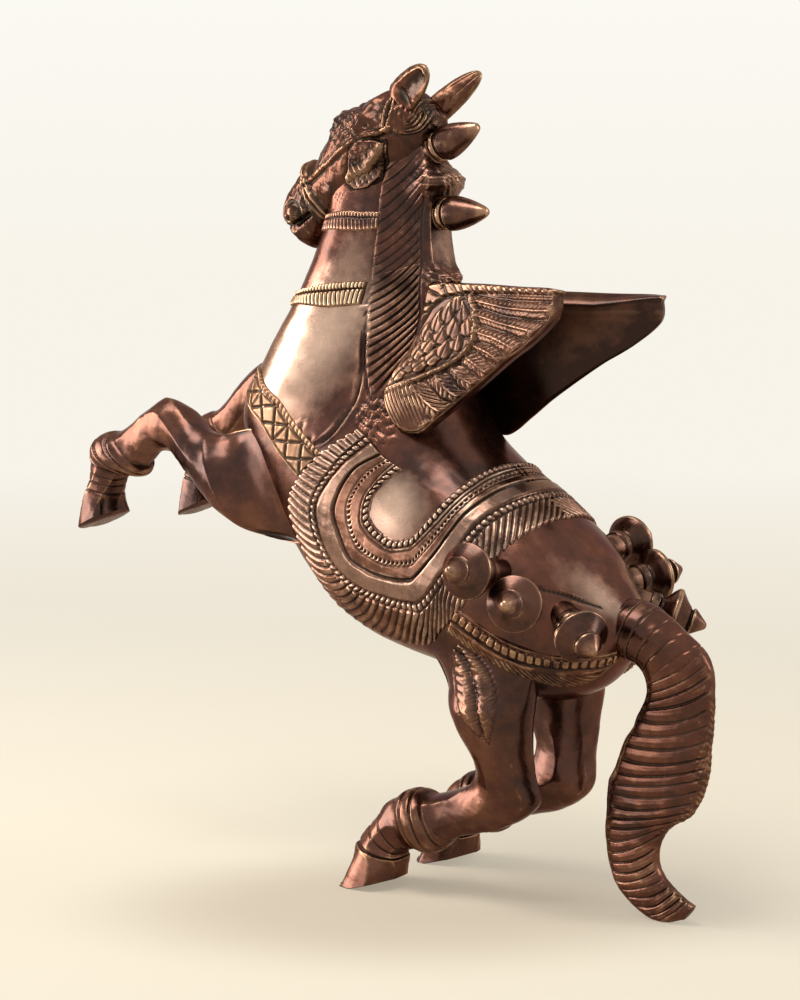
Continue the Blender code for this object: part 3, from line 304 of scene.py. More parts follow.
def outward(rings):
    """Unit normals of rings of points: the cross product of the steps along and round them, all turned
    the way that points away from the rings' middles."""
    normal = np.cross(np.gradient(rings, axis=0), np.roll(rings, -1, 1) - np.roll(rings, 1, 1))
    normal /= np.maximum(np.linalg.norm(normal, axis=-1, keepdims=True), 1e-12)
    away = rings - rings.mean(axis=1, keepdims=True)
    return normal * np.sign(np.sum(normal * away))


def bends(rings, span):
    """How sharply rings of points bend outwards, per millimetre: the drop from a point to the middle of
    its neighbours a span away on both sides, over the square of half their distance, in both directions."""
    normal = outward(rings)
    bend = 0
    for axis in (0, 1):
        step = np.median(np.linalg.norm(np.diff(rings, axis=axis), axis=-1))
        reach = int(np.clip(round(span / max(step, 1e-6)), 1, 12))
        if axis:
            ahead = np.roll(rings, -reach, 1)
            behind = np.roll(rings, reach, 1)
        else:
            index = np.arange(len(rings))
            ahead = rings[np.minimum(index + reach, len(rings) - 1)]
            behind = rings[np.maximum(index - reach, 0)]
        chord = np.maximum(np.sum((ahead - behind) ** 2, -1), 1e-3)
        bend = bend - 4 * np.sum((ahead + behind - 2 * rings) * normal, -1) / chord
    return bend


def casting(name, rings, finish, nodes=(), rub_and_painted_light=0.4, mirror=False, span=0.5):
    """A closed piece through rings of points in millimetres, its two ends drawn to their middles.

    Faces point outwards: the winding is turned where the signed volume comes out negative. Each point
    keeps two shares for the finish, ridge, how sharply it bends in or out, and its rubbing, which also
    carries painted highlights and painted shade."""
    if mirror:
        rings = rings * np.array((1, -1, 1))
    count, sides = rings.shape[:2]
    points = np.vstack([rings.reshape(-1, 3), rings[:1].mean(1), rings[-1:].mean(1)]) * MM
    index = np.arange(count * sides).reshape(count, sides)
    after = np.roll(index, -1, axis=1)
    quads = np.stack([index[:-1], after[:-1], after[1:], index[1:]], -1).reshape(-1, 4)
    ends = np.vstack([
        np.stack([after[0], index[0], np.full(sides, count * sides)], -1),
        np.stack([index[-1], after[-1], np.full(sides, count * sides + 1)], -1),
    ])
    halves = np.vstack([quads[:, :3], quads[:, [0, 2, 3]], ends])
    a, b, c = (points[halves[:, corner]] for corner in range(3))
    if np.sum(a * np.cross(b, c)) < 0:
        quads, ends = quads[:, ::-1], ends[:, ::-1]
    mesh = bpy.data.meshes.new(name)
    mesh.vertices.add(len(points))
    mesh.vertices.foreach_set("co", points.astype(np.float32).ravel())
    corners = np.concatenate([quads.ravel(), ends.ravel()])
    starts = np.concatenate([np.arange(len(quads)) * 4, 4 * len(quads) + np.arange(len(ends)) * 3])
    mesh.loops.add(len(corners))
    mesh.loops.foreach_set("vertex_index", corners.astype(np.int32))
    mesh.polygons.add(len(starts))
    mesh.polygons.foreach_set("loop_start", starts.astype(np.int32))
    mesh.update(calc_edges=True)
    mesh.validate()
    mesh.shade_smooth()
    shares = {
        "ridge": 0.5 * np.tanh(0.5 * bends(rings, span)) + 0.6 * np.tanh(1.8 * bends(rings, 5 * span)),
        "rub_and_painted_light": np.broadcast_to(rub_and_painted_light, (count, sides)),
    }
    for key, value in shares.items():
        value = np.concatenate([value.ravel(), value[0].mean(keepdims=True), value[-1].mean(keepdims=True)])
        mesh.attributes.new(key, "FLOAT", "POINT").data.foreach_set("value", value.astype(np.float32))
    mesh.materials.append(finish)
    made = bpy.data.objects.new(name, mesh)
    bpy.context.scene.collection.objects.link(made)
    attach(made, "root")
    if nodes:
        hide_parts(*nodes)


def patina(name, tones, rough=0.27, wear=0.40, cloud_size=0.034, mottle_size=0.006):
    """Brown patina over brass, waxed: clouds of dark and warm brown, a rubbed tone where the rubbing share
    is high, which also paints the highlights set there, darker brown where that share is below zero, which
    paints the shade on the wings' inner faces, bare metal on ridges, dull grime in hollows, and a fine grain
    in the surface."""
    hollow, dark, warm, rubbed_and_highlight_tone, bare = tones
    made = bpy.data.materials.new(name)
    made.use_nodes = True
    tree = made.node_tree
    shader = tree.nodes["Principled BSDF"].inputs
    place = node(tree, "TexCoord").outputs["Object"]
    cloud, mottle, grain = (
        node(tree, "TexNoise", {"Vector": place, "Scale": 1 / size, "Detail": detail, "Roughness": coarse})
        .outputs[0] for size, detail, coarse in (
            (cloud_size, 4.0, 0.55), (mottle_size, 6.0, 0.65), (GRAIN_SIZE, 2.0, 0.55)))
    ridge = node(tree, "Attribute", attribute_name="ridge").outputs["Fac"]
    rub_and_painted_light = node(tree, "Attribute", attribute_name="rub_and_painted_light").outputs["Fac"]
    both = summed(tree, 0.0, (cloud, 0.7), (mottle, 0.3))
    shaded = summed(tree, both, (maths(tree, "MINIMUM", rub_and_painted_light, 0.0), 0.6))
    tone = mixed(tree, spread(tree, shaded, 0.40, 0.60), dark, warm)
    # A high rubbing share gives the rubbed tone: rubbed metal, and also the painted highlights set on the
    # trunk and tail.
    lift = summed(tree, -0.5, (rub_and_painted_light, 1.0), (both, 1.0))
    tone = mixed(tree, spread(tree, lift, 0.45, 1.15), tone, rubbed_and_highlight_tone)
    worn = summed(tree, -0.75, (ridge, 1.0), (mottle, 1.5))
    tone = mixed(tree, spread(tree, worn, wear, wear + 0.75), tone, bare)
    dirt = spread(tree, ridge, -0.06, -0.55)
    tone = mixed(tree, maths(tree, "MULTIPLY", dirt, 0.92), tone, hollow)
    tree.links.new(tone, shader["Base Color"])
    shader["Metallic"].default_value = 0.93
    shader["Specular Tint"].default_value = EDGE_TINT
    shader["Coat Weight"].default_value = 0.22
    shader["Coat Roughness"].default_value = 0.2
    tree.links.new(summed(tree, rough - 0.08, (dirt, 0.30), (mottle, 0.16)), shader["Roughness"])
    height = summed(tree, mottle, (grain, 0.35))
    bump = node(tree, "Bump", {"Strength": 0.35, "Distance": 0.00012, "Height": height})
    tree.links.new(bump.outputs[0], shader["Normal"])
    return made


def ramp(value, low, high):
    """Smooth step: 0 up to low, 1 from high, with a level start and end; it falls where low is the
    greater."""
    part = np.clip((value - low) / (high - low), 0, 1)
    return part * part * (3 - 2 * part)


def hump(value, half, middle=0.0, power=2):
    """Smooth hump: 1 at the middle and falling on both sides, as e to minus the distance over half, to
    the power."""
    return np.exp(-(((value - middle) / half) ** power))


def repeat(place):
    """How far a place lies from the middle of its repeat: 0 there and 1 where two repeats meet, which
    is at each whole number."""
    return np.abs(place % 1 - 0.5) * 2


def cuts(place, width):
    """Narrow cuts where two repeats meet: 1 in the middle of each cut, by a hump this wide."""
    return hump(1 - repeat(place), width)


def filed(points, strong=0.16):
    """Unevenness of a hand-filed casting, in millimetres: at each of three sizes the product of two
    crossed and bent waves, the small ones shallow."""
    x, y, z = np.moveaxis(points, -1, 0)
    height = 0
    for size, share in FILED_WAVES:
        wave = 2 * math.pi / size
        first = np.sin(wave * (0.83 * x + 0.47 * z) + 1.3 * np.sin(0.6 * wave * y + 0.4))
        second = np.sin(wave * (0.9 * z - 0.4 * x + 0.5 * y) + 1.1 * np.sin(0.7 * wave * x))
        height = height + share * first * second
    return strong * height


def path_gap(points, path):
    """Distance of points from an open line through corners, and how far along it they lie, in space or
    in a plane."""
    path = np.asarray(path, float)
    gap = np.full(points.shape[:-1], 1e9)
    place = np.zeros(points.shape[:-1])
    start = 0.0
    for first, last in zip(path[:-1], path[1:]):
        step = last - first
        size = np.linalg.norm(step)
        share = np.clip((points - first) @ step / size**2, 0, 1)
        here = np.linalg.norm(points - first - share[..., None] * step, axis=-1)
        place = np.where(here < gap, start + share * size, place)
        gap = np.minimum(gap, here)
        start += size
    return gap, place


def trunk_path(line, count=60):
    """A line of (rib, climb) pairs laid on the left of the trunk's skin as a smooth path in space."""
    rib, climb = np.moveaxis(spline(line, np.linspace(0, len(line) - 1, count)), -1, 0)
    return skin(TRUNK, rib, np.radians(180 - climb))[0]


def climb_of(turn):
    """Degrees above the middle of the flank, on either side: -90 on the belly, 90 on the back."""
    degrees = np.degrees(turn) % 360
    return np.where(degrees < 270, np.where(degrees > 90, 180 - degrees, degrees), degrees - 360)


def trunk_rub_and_highlights(at, turn):
    """How rubbed the trunk is, with painted highlights: a plain level, raised by smooth swellings that paint
    highlights on the bib, the seat, the rump and the front of the neck, and lighter on the neck's flat back."""
    climb = climb_of(turn)
    bib = hump(at, 1.9, 12.2) * hump(climb, 30, -6)
    seat = hump(at, 0.75, 6.2) * hump(climb, 15, 20)
    throat = hump(at, 0.8, 15.1) * hump(climb, 15, -4)
    rump = hump(at, 0.8, 1.7) * hump(climb, 13, 62)
    back = ramp(at, 13.0, 14.2) * ramp(climb, 52, 68)
    # The bib, seat, rump and throat swellings are painted highlights.
    return 0.36 + 0.84 * bib + 0.85 * seat + 0.16 * throat + 0.22 * back + 0.5 * rump


def mane(at, turn):
    """Depth of the mane's carving: slanting locks between its two edge lines, each lock parted from
    the next by a groove that deepens on the breast."""
    climb = climb_of(turn)
    front = np.interp(at, MANE_RIBS, MANE_FRONT)
    back = np.interp(at, MANE_RIBS, MANE_BACK)
    arc = spline(TRUNK, at)[..., 4] * math.pi / 180
    inward = (climb - front) / (back - front)
    fade = ramp(at, 9.0, 9.8) * ramp(at, 17.6, 17.0)
    breast = ramp(at, 14.2, 13.2)
    lock = (at - LOCK_RISE * np.clip(inward, 0, 1) ** (1.3 + 0.5 * breast)) / LOCK_PITCH
    panel = ramp(inward, 0.02, 0.10) * ramp(inward, 0.98, 0.92)
    relief = -(LOCK_DEPTH + 0.35 * breast) * cuts(lock, 0.20 + 0.14 * breast) * panel * fade
    wide = 0.40 + 0.45 * breast * ramp(at, 9.6, 10.6)
    relief -= (MANE_LINE_DEPTH + 0.7 * breast) * hump((climb - front) * arc, wide) * fade
    relief -= 0.4 * hump((climb - back) * arc, 0.4) * fade * ramp(at, 10.8, 11.2)
    return relief


def neck_lumps(points):
    """Height of the lumps behind the neck: a bell round each, near the middle plane, with filed marks."""
    rise = 0
    for (x, z), size, height in NECK_LUMPS:
        far = np.hypot(points[..., 0] - HOOVES_X - x, points[..., 2] - z)
        bell = hump(far, size) * hump(points[..., 1], 10.5, power=4)
        rise = rise + bell * (height + filed(points * 3.3, 0.5))
    return rise


def trunk_relief(at, turn, points, uneven):
    """Height of what all castings of the trunk share: the mane, the file's unevenness and the lumps."""
    return mane(at, turn) + filed(points, uneven) + neck_lumps(points)


TRUNK = ribs(TRUNK)
torso_patina = patina("torso_patina", TORSO_TONES, wear=0.36)
at = TORSO_ALONG[:, None]
turn = np.radians(np.concatenate([180 - TORSO_CLIMBS, TORSO_CLIMBS[::-1] + 2.0]))[None]
points, normal = skin(TRUNK, at, turn)
relief = trunk_relief(at, turn, points, 0.07)
left = points.copy()
left[..., 1] = -np.abs(left[..., 1])
bib_gap = path_gap(left, trunk_path(BIB_EDGE))[0]
relief += 0.35 * hump(bib_gap, 0.7, 1.5) - 0.75 * hump(bib_gap, 0.6)
relief -= 0.8 * hump(path_gap(left, trunk_path(HAUNCH_LEDGE))[0], 0.7)
rough_gap = np.linalg.norm(left - trunk_path([ROUGH_PATCH, ROUGH_PATCH])[0], axis=-1)
relief += ramp(rough_gap, 12, 7) * filed(points * 3.1, 0.55)
# Its rubbing share also paints the highlights on the bib, the seat and the rump.
casting("torso_casting", raised(points, normal, relief), torso_patina, nodes=["torso"],
        rub_and_painted_light=trunk_rub_and_highlights(at, turn))

# Neck: an arched casting on a spigot in the torso, with the mane carved down both its sides and
# left smooth behind, where the two knobs stand.
THROAT_SEAM = 16.6
NECK_RINGS = 184
NECK_SIDES = 320


def rounds(table, rings, sides, start=0, end=None):
    """Rib number, turn, points and normals of evenly spread rings on a rib table's skin."""
    at = np.linspace(start, len(table) - 1 if end is None else end, rings)[:, None]
    turn = full_turn(sides)[None]
    return at, turn, *skin(table, at, turn)


at, turn, points, normal = rounds(TRUNK, NECK_RINGS, NECK_SIDES, NECK_SEAM - 0.05, THROAT_SEAM + 0.25)
# Its rubbing share paints a highlight on the front of the neck.
casting("neck_casting", raised(points, normal, trunk_relief(at, turn, points, 0.08)), torso_patina,
        nodes=["neck"], rub_and_painted_light=trunk_rub_and_highlights(at, turn))

# Collar and throat band: two raised strips cast round the front of the neck, the collar with a row
# of beads over tall slots, the throat band the same but smaller.
COLLAR_UPPER = ((13.86, 13), (14.02, 4), (14.22, -9), (14.34, -28), (14.38, -50), (14.42, -70), (14.44, -90))
COLLAR_LOWER = ((12.98, 16), (13.08, 8), (13.25, -2), (13.60, -18), (13.86, -36), (13.98, -65), (14.0, -90))
THROAT_UPPER = ((16.06, 11), (16.18, 0), (16.37, -17), (16.45, -40), (16.48, -65), (16.5, -90))
THROAT_LOWER = ((15.57, 12), (15.61, 2), (15.76, -12), (15.95, -35), (16.0, -65), (16.02, -90))
COLLAR_PROUD = 1.3
THROAT_PROUD = 0.6
# Points across the back of a strip, which lies under the skin, and how rubbed it is there
BACK_POINTS = 5
BACK_POLISH = 0.3
COLLAR_TONES = ((0.020, 0.013, 0.008), (0.060, 0.026, 0.014), (0.150, 0.062, 0.030),
                (0.38, 0.25, 0.15), (0.62, 0.46, 0.30))


def laid(lines, rows, across):
    """Points and normals of a strip on the trunk, laid between lines of (rib, climb) pairs: climb is
    counted on past the belly or the back, and across in lines."""
    lines = np.array(lines, float)
    low = np.clip(np.floor(across).astype(int), 0, lines.shape[1] - 2)
    places = spline(lines.reshape(len(lines), -1), np.linspace(0, len(lines) - 1, rows))
    places = places.reshape(rows, -1, 2)
    first = places[:, low]
    rib, climb = np.moveaxis(first + (across - low)[:, None] * (places[:, low + 1] - first), -1, 0)
    return skin(TRUNK, rib, np.radians(180 - climb))


def both_sides(lower, upper):
    """A strip's two lines of (rib, climb) pairs, carried on past the belly to the right side."""
    lines = np.stack([lower, upper], axis=1)
    return np.concatenate([lines, (0, -180) + lines[-2::-1] * (1, -1)])


def run_of(track):
    """Length along a line of points, at each of them."""
    return np.cumsum(np.linalg.norm(np.diff(track, axis=0, prepend=track[:1]), axis=-1))[:, None]


def measured(points):
    """Length along a strip's middle and its width, at each of its rows."""
    wide = np.linalg.norm(points[:, -1] - points[:, 0], axis=-1)[:, None]
    return run_of(points[:, points.shape[1] // 2]), wide


def sunk(rise, share, depth):
    """A height that goes down to this depth under the skin where share is 0."""
    return rise * share - depth * (1 - share)


def ended(length, over=1.0):
    """Share that falls to 0 at both ends of a strip."""
    return ramp(np.minimum(length, length[-1] - length), 0, over)


def beads(length, aside, pitch, half, power=2.6, fill=0.9):
    """Row of raised beads: 1 in the middle of each, 0 at its rim, where the two shares of its half
    length and half width, each to the power, add up to one."""
    along = repeat(length / pitch) / fill
    return np.clip(1 - along**power - np.abs(aside / half) ** power, 0, 1) ** 0.55


def strip(name, points, normal, height, sink, finish, rub_and_painted_light, mirror=False, span=0.35):
    """A strip whose face is raised by height and whose back, a few points wide, is sunk by sink."""
    pick = np.linspace(points.shape[1] - 1, 0, BACK_POINTS).astype(int)
    back = points[:, pick] - normal[:, pick] * sink
    rub_and_painted_light = np.concatenate([rub_and_painted_light, np.full((len(points), BACK_POINTS), BACK_POLISH)], axis=1)
    casting(name, np.concatenate([raised(points, normal, height), back], axis=1), finish,
            rub_and_painted_light=rub_and_painted_light, mirror=mirror, span=span)


def neck_band(name, upper, lower, proud, rows, columns, pitch, bead_pitch, finish, shine):
    """A strip round the neck: slots along its lower part and beads along its upper edge."""
    across = np.linspace(0, 1, columns)
    points, normal = laid(both_sides(lower, upper), rows, across)
    length, wide = measured(points)
    edge = np.minimum(across, 1 - across) * wide
    slots = beads(length, (across - 0.36) * wide, pitch, 0.30 * wide, 4.0, 0.82)
    small = beads(length, (across - 0.82) * wide, bead_pitch, 0.14 * wide, 3.0, 0.8)
    rise = proud * ramp(edge, 0.0, 0.7) * (0.55 + 0.45 * np.maximum(slots, small * 0.9))
    rise -= 0.4 * (edge < 0.01) + 0.4 * proud * hump((across - 0.68) * wide, 0.3)
    strip(name, points, normal, sunk(rise, ended(length, 1.2), 0.3), 0.8, finish,
          0.35 + shine * np.maximum(slots, small), span=0.3)


collar_patina = patina("collar_patina", COLLAR_TONES, rough=0.3)
neck_band("collar", COLLAR_UPPER, COLLAR_LOWER, COLLAR_PROUD, 520, 56, 1.9, 1.5, collar_patina, 0.6)
neck_band("throat_band", THROAT_UPPER, THROAT_LOWER, THROAT_PROUD, 420, 44, 1.7, 1.3, torso_patina, -0.05)

# Saddle cloth: cast on the back and flanks as bands round a smooth seat, from the seat outwards a row of
# beads, a strip, a pricked band, a wide polished band, a second row of beads and a fringe of lobes. Its
# four lines are the seat's beads, the deep groove, the outer beads and the fringe's ends.
SADDLE = (
    ((6.85, 35), (7.62, 30), (8.27, 27), (8.80, 23)), ((6.94, 26), (7.86, 13), (8.26, 7), (8.86, -2)),
    ((6.95, 15), (7.59, -3), (8.01, -14), (8.55, -28)), ((6.68, 7), (7.02, -9), (7.30, -23), (7.66, -42)),
    ((6.31, 5), (6.47, -13), (6.59, -26), (6.79, -50)), ((5.96, 5), (5.93, -12), (5.92, -25), (5.89, -51)),
    ((5.60, 6), (5.43, -9), (5.28, -21), (4.97, -49)), ((5.29, 11), (4.93, -4), (4.64, -16), (4.12, -37)),
    ((5.19, 15), (4.73, 1), (4.36, -11), (3.86, -26)), ((5.13, 26), (4.62, 18), (4.21, 11), (3.61, 2)),
    ((5.12, 40), (4.66, 40), (4.26, 40), (3.60, 40)), ((5.11, 65), (4.62, 65), (4.20, 65), (3.56, 65)),
    ((5.10, 91.5), (4.58, 91.5), (4.15, 91.5), (3.53, 91.5)),
)
SADDLE_ROWS = 520
# Places across the strip, counted in lines; its points are closest where the relief is finest
SADDLE_ACROSS = np.concatenate([
    np.linspace(-0.2, 0, 7, endpoint=False), np.linspace(0, 1, 42, endpoint=False),
    np.linspace(1, 2, 28, endpoint=False), np.linspace(2, 3.2, 42),
])
PRICKED_SHARE = 0.56
CLOTH = 1.0
SADDLE_BEAD_PITCH = 2.7
SEAT_BEAD_PITCH = 2.5
PRICK_PITCH = 2.3
LOBE_PITCH = 3.3
FRINGE_MORE = 0.17
SADDLE_TONES = ((0.016, 0.011, 0.007), (0.050, 0.021, 0.013), (0.150, 0.064, 0.038),
                (0.310, 0.195, 0.145), (0.450, 0.310, 0.225))


def saddle_height(length, gap):
    """Height of the saddle cloth's face over the barrel, where it is smooth, and its beads. length holds
    the distances along the four lines, gap the distances outwards from them."""
    seat_row = beads(length[0], gap[0], SEAT_BEAD_PITCH, 1.25, 2.6, 0.84)
    rise = np.where(np.abs(gap[0]) < 1.6, CLOTH - 0.65 + seat_row, CLOTH)
    pricked = gap[0] - PRICKED_SHARE * (gap[0] - gap[1])
    pricks = hump(repeat(length[1] / PRICK_PITCH) * PRICK_PITCH / 2, 0.62) * hump(pricked, 0.55, -0.35)
    smooth = ramp(gap[1], 0.2, 1.4) * ramp(gap[2], -1.9, -3.2)
    rise -= 0.55 * hump(gap[0], 0.30, 2.8) + 0.9 * pricks + 0.35 * hump(pricked, 0.35, 0.9)
    rise += 0.4 * smooth - 0.95 * hump(gap[1], 0.5, -0.1)
    slanted = ramp(length[2], 34, 44) * ramp(length[2], 100, 92)
    outer_row = beads(length[2] + 0.7 * slanted * gap[2], gap[2], SADDLE_BEAD_PITCH, 1.35, 3.0, 0.84)
    rise = np.where(np.abs(gap[2]) < 1.75, CLOTH - 0.65 + 1.05 * outer_row, rise)
    out = gap[2] - 1.75
    over = np.maximum(out, 0)
    lean = 0.10 + 0.25 * ramp(length[2], 18, 40) + 0.65 * ramp(length[2], 88, 112)
    near = repeat((length[2] + lean * over + 0.012 * over**2 * ramp(length[2], 30, 50)) / LOBE_PITCH)
    lobe = (1 - near**3) * 0.95 - 0.75 * ramp(near, 0.62, 1.0)
    bottom = ramp(length[2], 24, 44) * ramp(length[2], 112, 96)
    end = gap[3] + near**2 + 0.2 - FRINGE_MORE * (gap[2] - gap[3]) * bottom
    fringe = CLOTH - 0.45 + 0.7 * lobe * ramp(out, 0, 0.5) - 0.25 * ramp(out, 4, 14)
    fringe = fringe * ramp(end, 0.0, -1.4) - 0.9 * ramp(end, -0.9, 0.2)
    rise = sunk(np.where(out > 0, fringe, rise), ramp(gap[0], -2.1, -1.5), 0.5)
    return sunk(rise, ramp(length[2], 0.0, 1.4), 0.5), smooth, np.maximum(seat_row, outer_row)


saddle_patina = patina("saddle_patina", SADDLE_TONES, rough=0.28, wear=0.42, cloud_size=0.02)
points, normal = laid(SADDLE, SADDLE_ROWS, SADDLE_ACROSS)
aside = np.cumsum(np.linalg.norm(np.diff(points, axis=1, prepend=points[:, :1]), axis=-1), axis=1)
columns = [int(np.argmin(np.abs(SADDLE_ACROSS - line))) for line in range(4)]
length = [run_of(points[:, column]) for column in columns]
gap = [aside - aside[:, column:column + 1] for column in columns]
rise, smooth, row = saddle_height(length, gap)
comb = ramp(gap[2], 1.75, 2.5) * ramp(length[2], 70, 30)
for word, mirror in SIDES:
    strip(f"{word}_saddle_cloth", points, normal, rise + filed(points, 0.12), 1.2, saddle_patina,
          0.40 + 0.34 * smooth + 0.25 * row + 0.4 * comb, mirror)

# Breast strap: a raised strip from the saddle cloth round the breast, scored with crosses between a
# roped upper edge and a plain rim.
BREAST_UPPER = ((8.75, 2), (9.24, -1.5), (9.99, -7.5), (10.81, -15.5), (11.78, -37.6), (12.2, -62),
                (12.35, -90))
BREAST_LOWER = ((8.72, -15), (9.19, -19.2), (9.82, -24.1), (10.42, -29.9), (11.29, -47.6), (11.62, -68),
                (11.75, -90))
BREAST_ROWS = 620
BREAST_COLUMNS = 46
ROPE_WIDE = 2.4
ROPE_PITCH = 2.2
RIM_WIDE = 1.8
BOTH_EDGES_WIDE = 4.4
CROSS_PITCH = 19.0
BREAST_TONES = ((0.018, 0.012, 0.007), (0.050, 0.022, 0.011), (0.140, 0.060, 0.028),
                (0.160, 0.086, 0.048), (0.320, 0.195, 0.110))

across = np.linspace(0, 1, BREAST_COLUMNS)
points, normal = laid(both_sides(BREAST_LOWER, BREAST_UPPER), BREAST_ROWS, across)
length, wide = measured(points)
low_gap = across * wide
top_gap = (1 - across) * wide
strand = repeat((length + 0.9 * top_gap) / ROPE_PITCH)
rope = (1 - strand**2) * np.clip(1 - (top_gap / ROPE_WIDE * 2 - 1) ** 2, 0, 1)
rise = 0.9 * ramp(np.minimum(low_gap, top_gap), 0, 0.8) * np.where(top_gap < ROPE_WIDE, 0.6 + 0.55 * rope, 1)
rise -= 0.45 * hump(top_gap, 0.35, 2.7) + 0.45 * hump(low_gap, 0.35, 1.7)
field = (top_gap >= ROPE_WIDE) & (low_gap > RIM_WIDE)
middle = (low_gap - RIM_WIDE) / np.maximum(wide - BOTH_EDGES_WIDE, 1)
place = repeat(length / CROSS_PITCH)
for diagonal in (middle - place, 1 - middle - place):
    rise -= 0.6 * field * hump(diagonal * CROSS_PITCH / 2, 0.75)
rise -= 0.5 * field * hump((1 - place) * CROSS_PITCH / 2, 0.5)
rise = sunk(rise + filed(points, 0.12), ended(length), 0.5)
breast_patina = patina("breast_strap_patina", BREAST_TONES, rough=0.3)
strip("breast_strap", points, normal, rise, 1.0, breast_patina, 0.5 + 0.3 * field)

# Head: skull, jaw and muzzle in one casting on a spigot in the neck, with a slit eye, a rosette behind
# it, a leaf on the cheek and a bridle and noseband raised on it and chased with a graver. The throat
# joins it to the neck.
SKULL = ribs([
    (13.9, 284.4, 13.3, 286.4, 1.0), (13.8, 282.6, 12.2, 288.4, 4.8), (13, 279, 9, 290, 8),
    (7, 268, 1, 295, 15, 0, 2.2), (-6, 260, -11, 295, 18, 0, 2.2),
    (-18, 253, -23, 289, 18, 0, 2.2), (-27, 250, -32, 280, 16, 0, 2.2), (-35, 245, -39, 271, 13.5, 0, 2.2),
    (-39, 240, -49, 266, 12.5, 0, 2.2), (-43, 238, -56, 257, 11.5), (-48, 241, -56, 250, 7.5, 0, 2.0),
])
HEAD_RINGS = 310
HEAD_SIDES = 300
THROAT_RINGS = 84
THROAT_SIDES = 240
HEAD_TONES = ((0.026, 0.021, 0.012), (0.026, 0.012, 0.008), (0.098, 0.034, 0.018),
              (0.260, 0.140, 0.080), (0.420, 0.260, 0.140))
# Lines of the carving in the side view: x and z over the hooves' middle
LEAF = (
    (-13.5, 275.4), (-9.5, 278.2), (-4.4, 278.8), (1.6, 277.6), (1.0, 271.0), (-2.0, 264.0),
    (-7.0, 259.9), (-12.5, 259.4), (-16.4, 262.2), (-14.6, 268.2), (-13.5, 275.4),
)
LEAF_RIDGE = ((0.4, 275.6), (-2.4, 272.4), (-6.6, 268.4), (-11.6, 266.2), (-15.0, 264.6))
BRIDLE = ((2.4, 281.6), (-2.4, 280.4), (-7.0, 279.6), (-11.8, 277.8), (-17.6, 274.8), (-23.8, 270.4),
          (-33.2, 265.6), (-40.5, 262.6))
NOSEBAND = ((-47.5, 271.5), (-41.6, 265.0), (-37.9, 258.9), (-34.5, 254.2), (-31.6, 250.6), (-28.5, 247.0))
EYE = ((0.9, 293.0), (2.1, 289.6), (2.3, 285.6), (1.0, 281.6), (0.2, 285.6), (0.1, 289.6), (0.9, 293.0))
BROW = ((-3.0, 297.0), (-7.6, 292.0), (-9.0, 286.5), (-11.5, 280.5))
MOUTH = ((-52.0, 247.0), (-47.0, 246.6), (-42.6, 248.4), (-38.6, 250.6))
ROSETTE = (7.7, 285.6)
ROSETTE_SIZE = 5.9
# Plain swellings: height, middle, half sizes and lean of the knot on the nose, the forehead, the poll's
# two, the chin and the cheek, and of the hollows behind the mouth and before the eye
HEAD_SWELLS = (
    (3.4, (-46.6, 270.4), (4.6, 3.2), -50), (3.2, (-25.5, 286.0), (5.5, 4.0), 35),
    (1.8, (2.0, 296.0), (9.0, 4.5), -8), (1.6, (8.0, 291.0), (6.0, 4.5), -25),
    (1.2, (-39.5, 244.3), (5.0, 3.6), 20), (0.9, (-23.5, 261.8), (4.4, 8.6), -32),
    (-0.5, (-30.5, 258.5), (2.2, 7.5), -35), (-0.9, (-3.6, 287.5), (2.6, 6.5), 8),
)


def inside(x, y, line):
    """1 inside a closed line and 0 outside: the parity of its crossings with a level ray."""
    crossed = np.zeros(x.shape, bool)
    for (x0, y0), (x1, y1) in zip(line[:-1], line[1:]):
        spans = (y0 > y) != (y1 > y)
        crossed ^= spans & (x < x0 + (y - y0) * (x1 - x0) / (y1 - y0 + 1e-9))
    return crossed.astype(float)


def swelling(x, y, middle, half, lean):
    """Smooth swelling of height 1 with these half sizes, leaning by some degrees."""
    turned = math.radians(lean)
    dx, dy = x - middle[0], y - middle[1]
    along = dx * math.cos(turned) + dy * math.sin(turned)
    return hump(along, half[0]) * hump(dy * math.cos(turned) - dx * math.sin(turned), half[1])


def scored(x, y, lean, pitch, width=0.3):
    """Parallel graver cuts at this slant: 1 in the middle of each, 0 between."""
    turned = math.radians(lean)
    return cuts((x * math.sin(turned) + y * math.cos(turned)) / pitch, width)


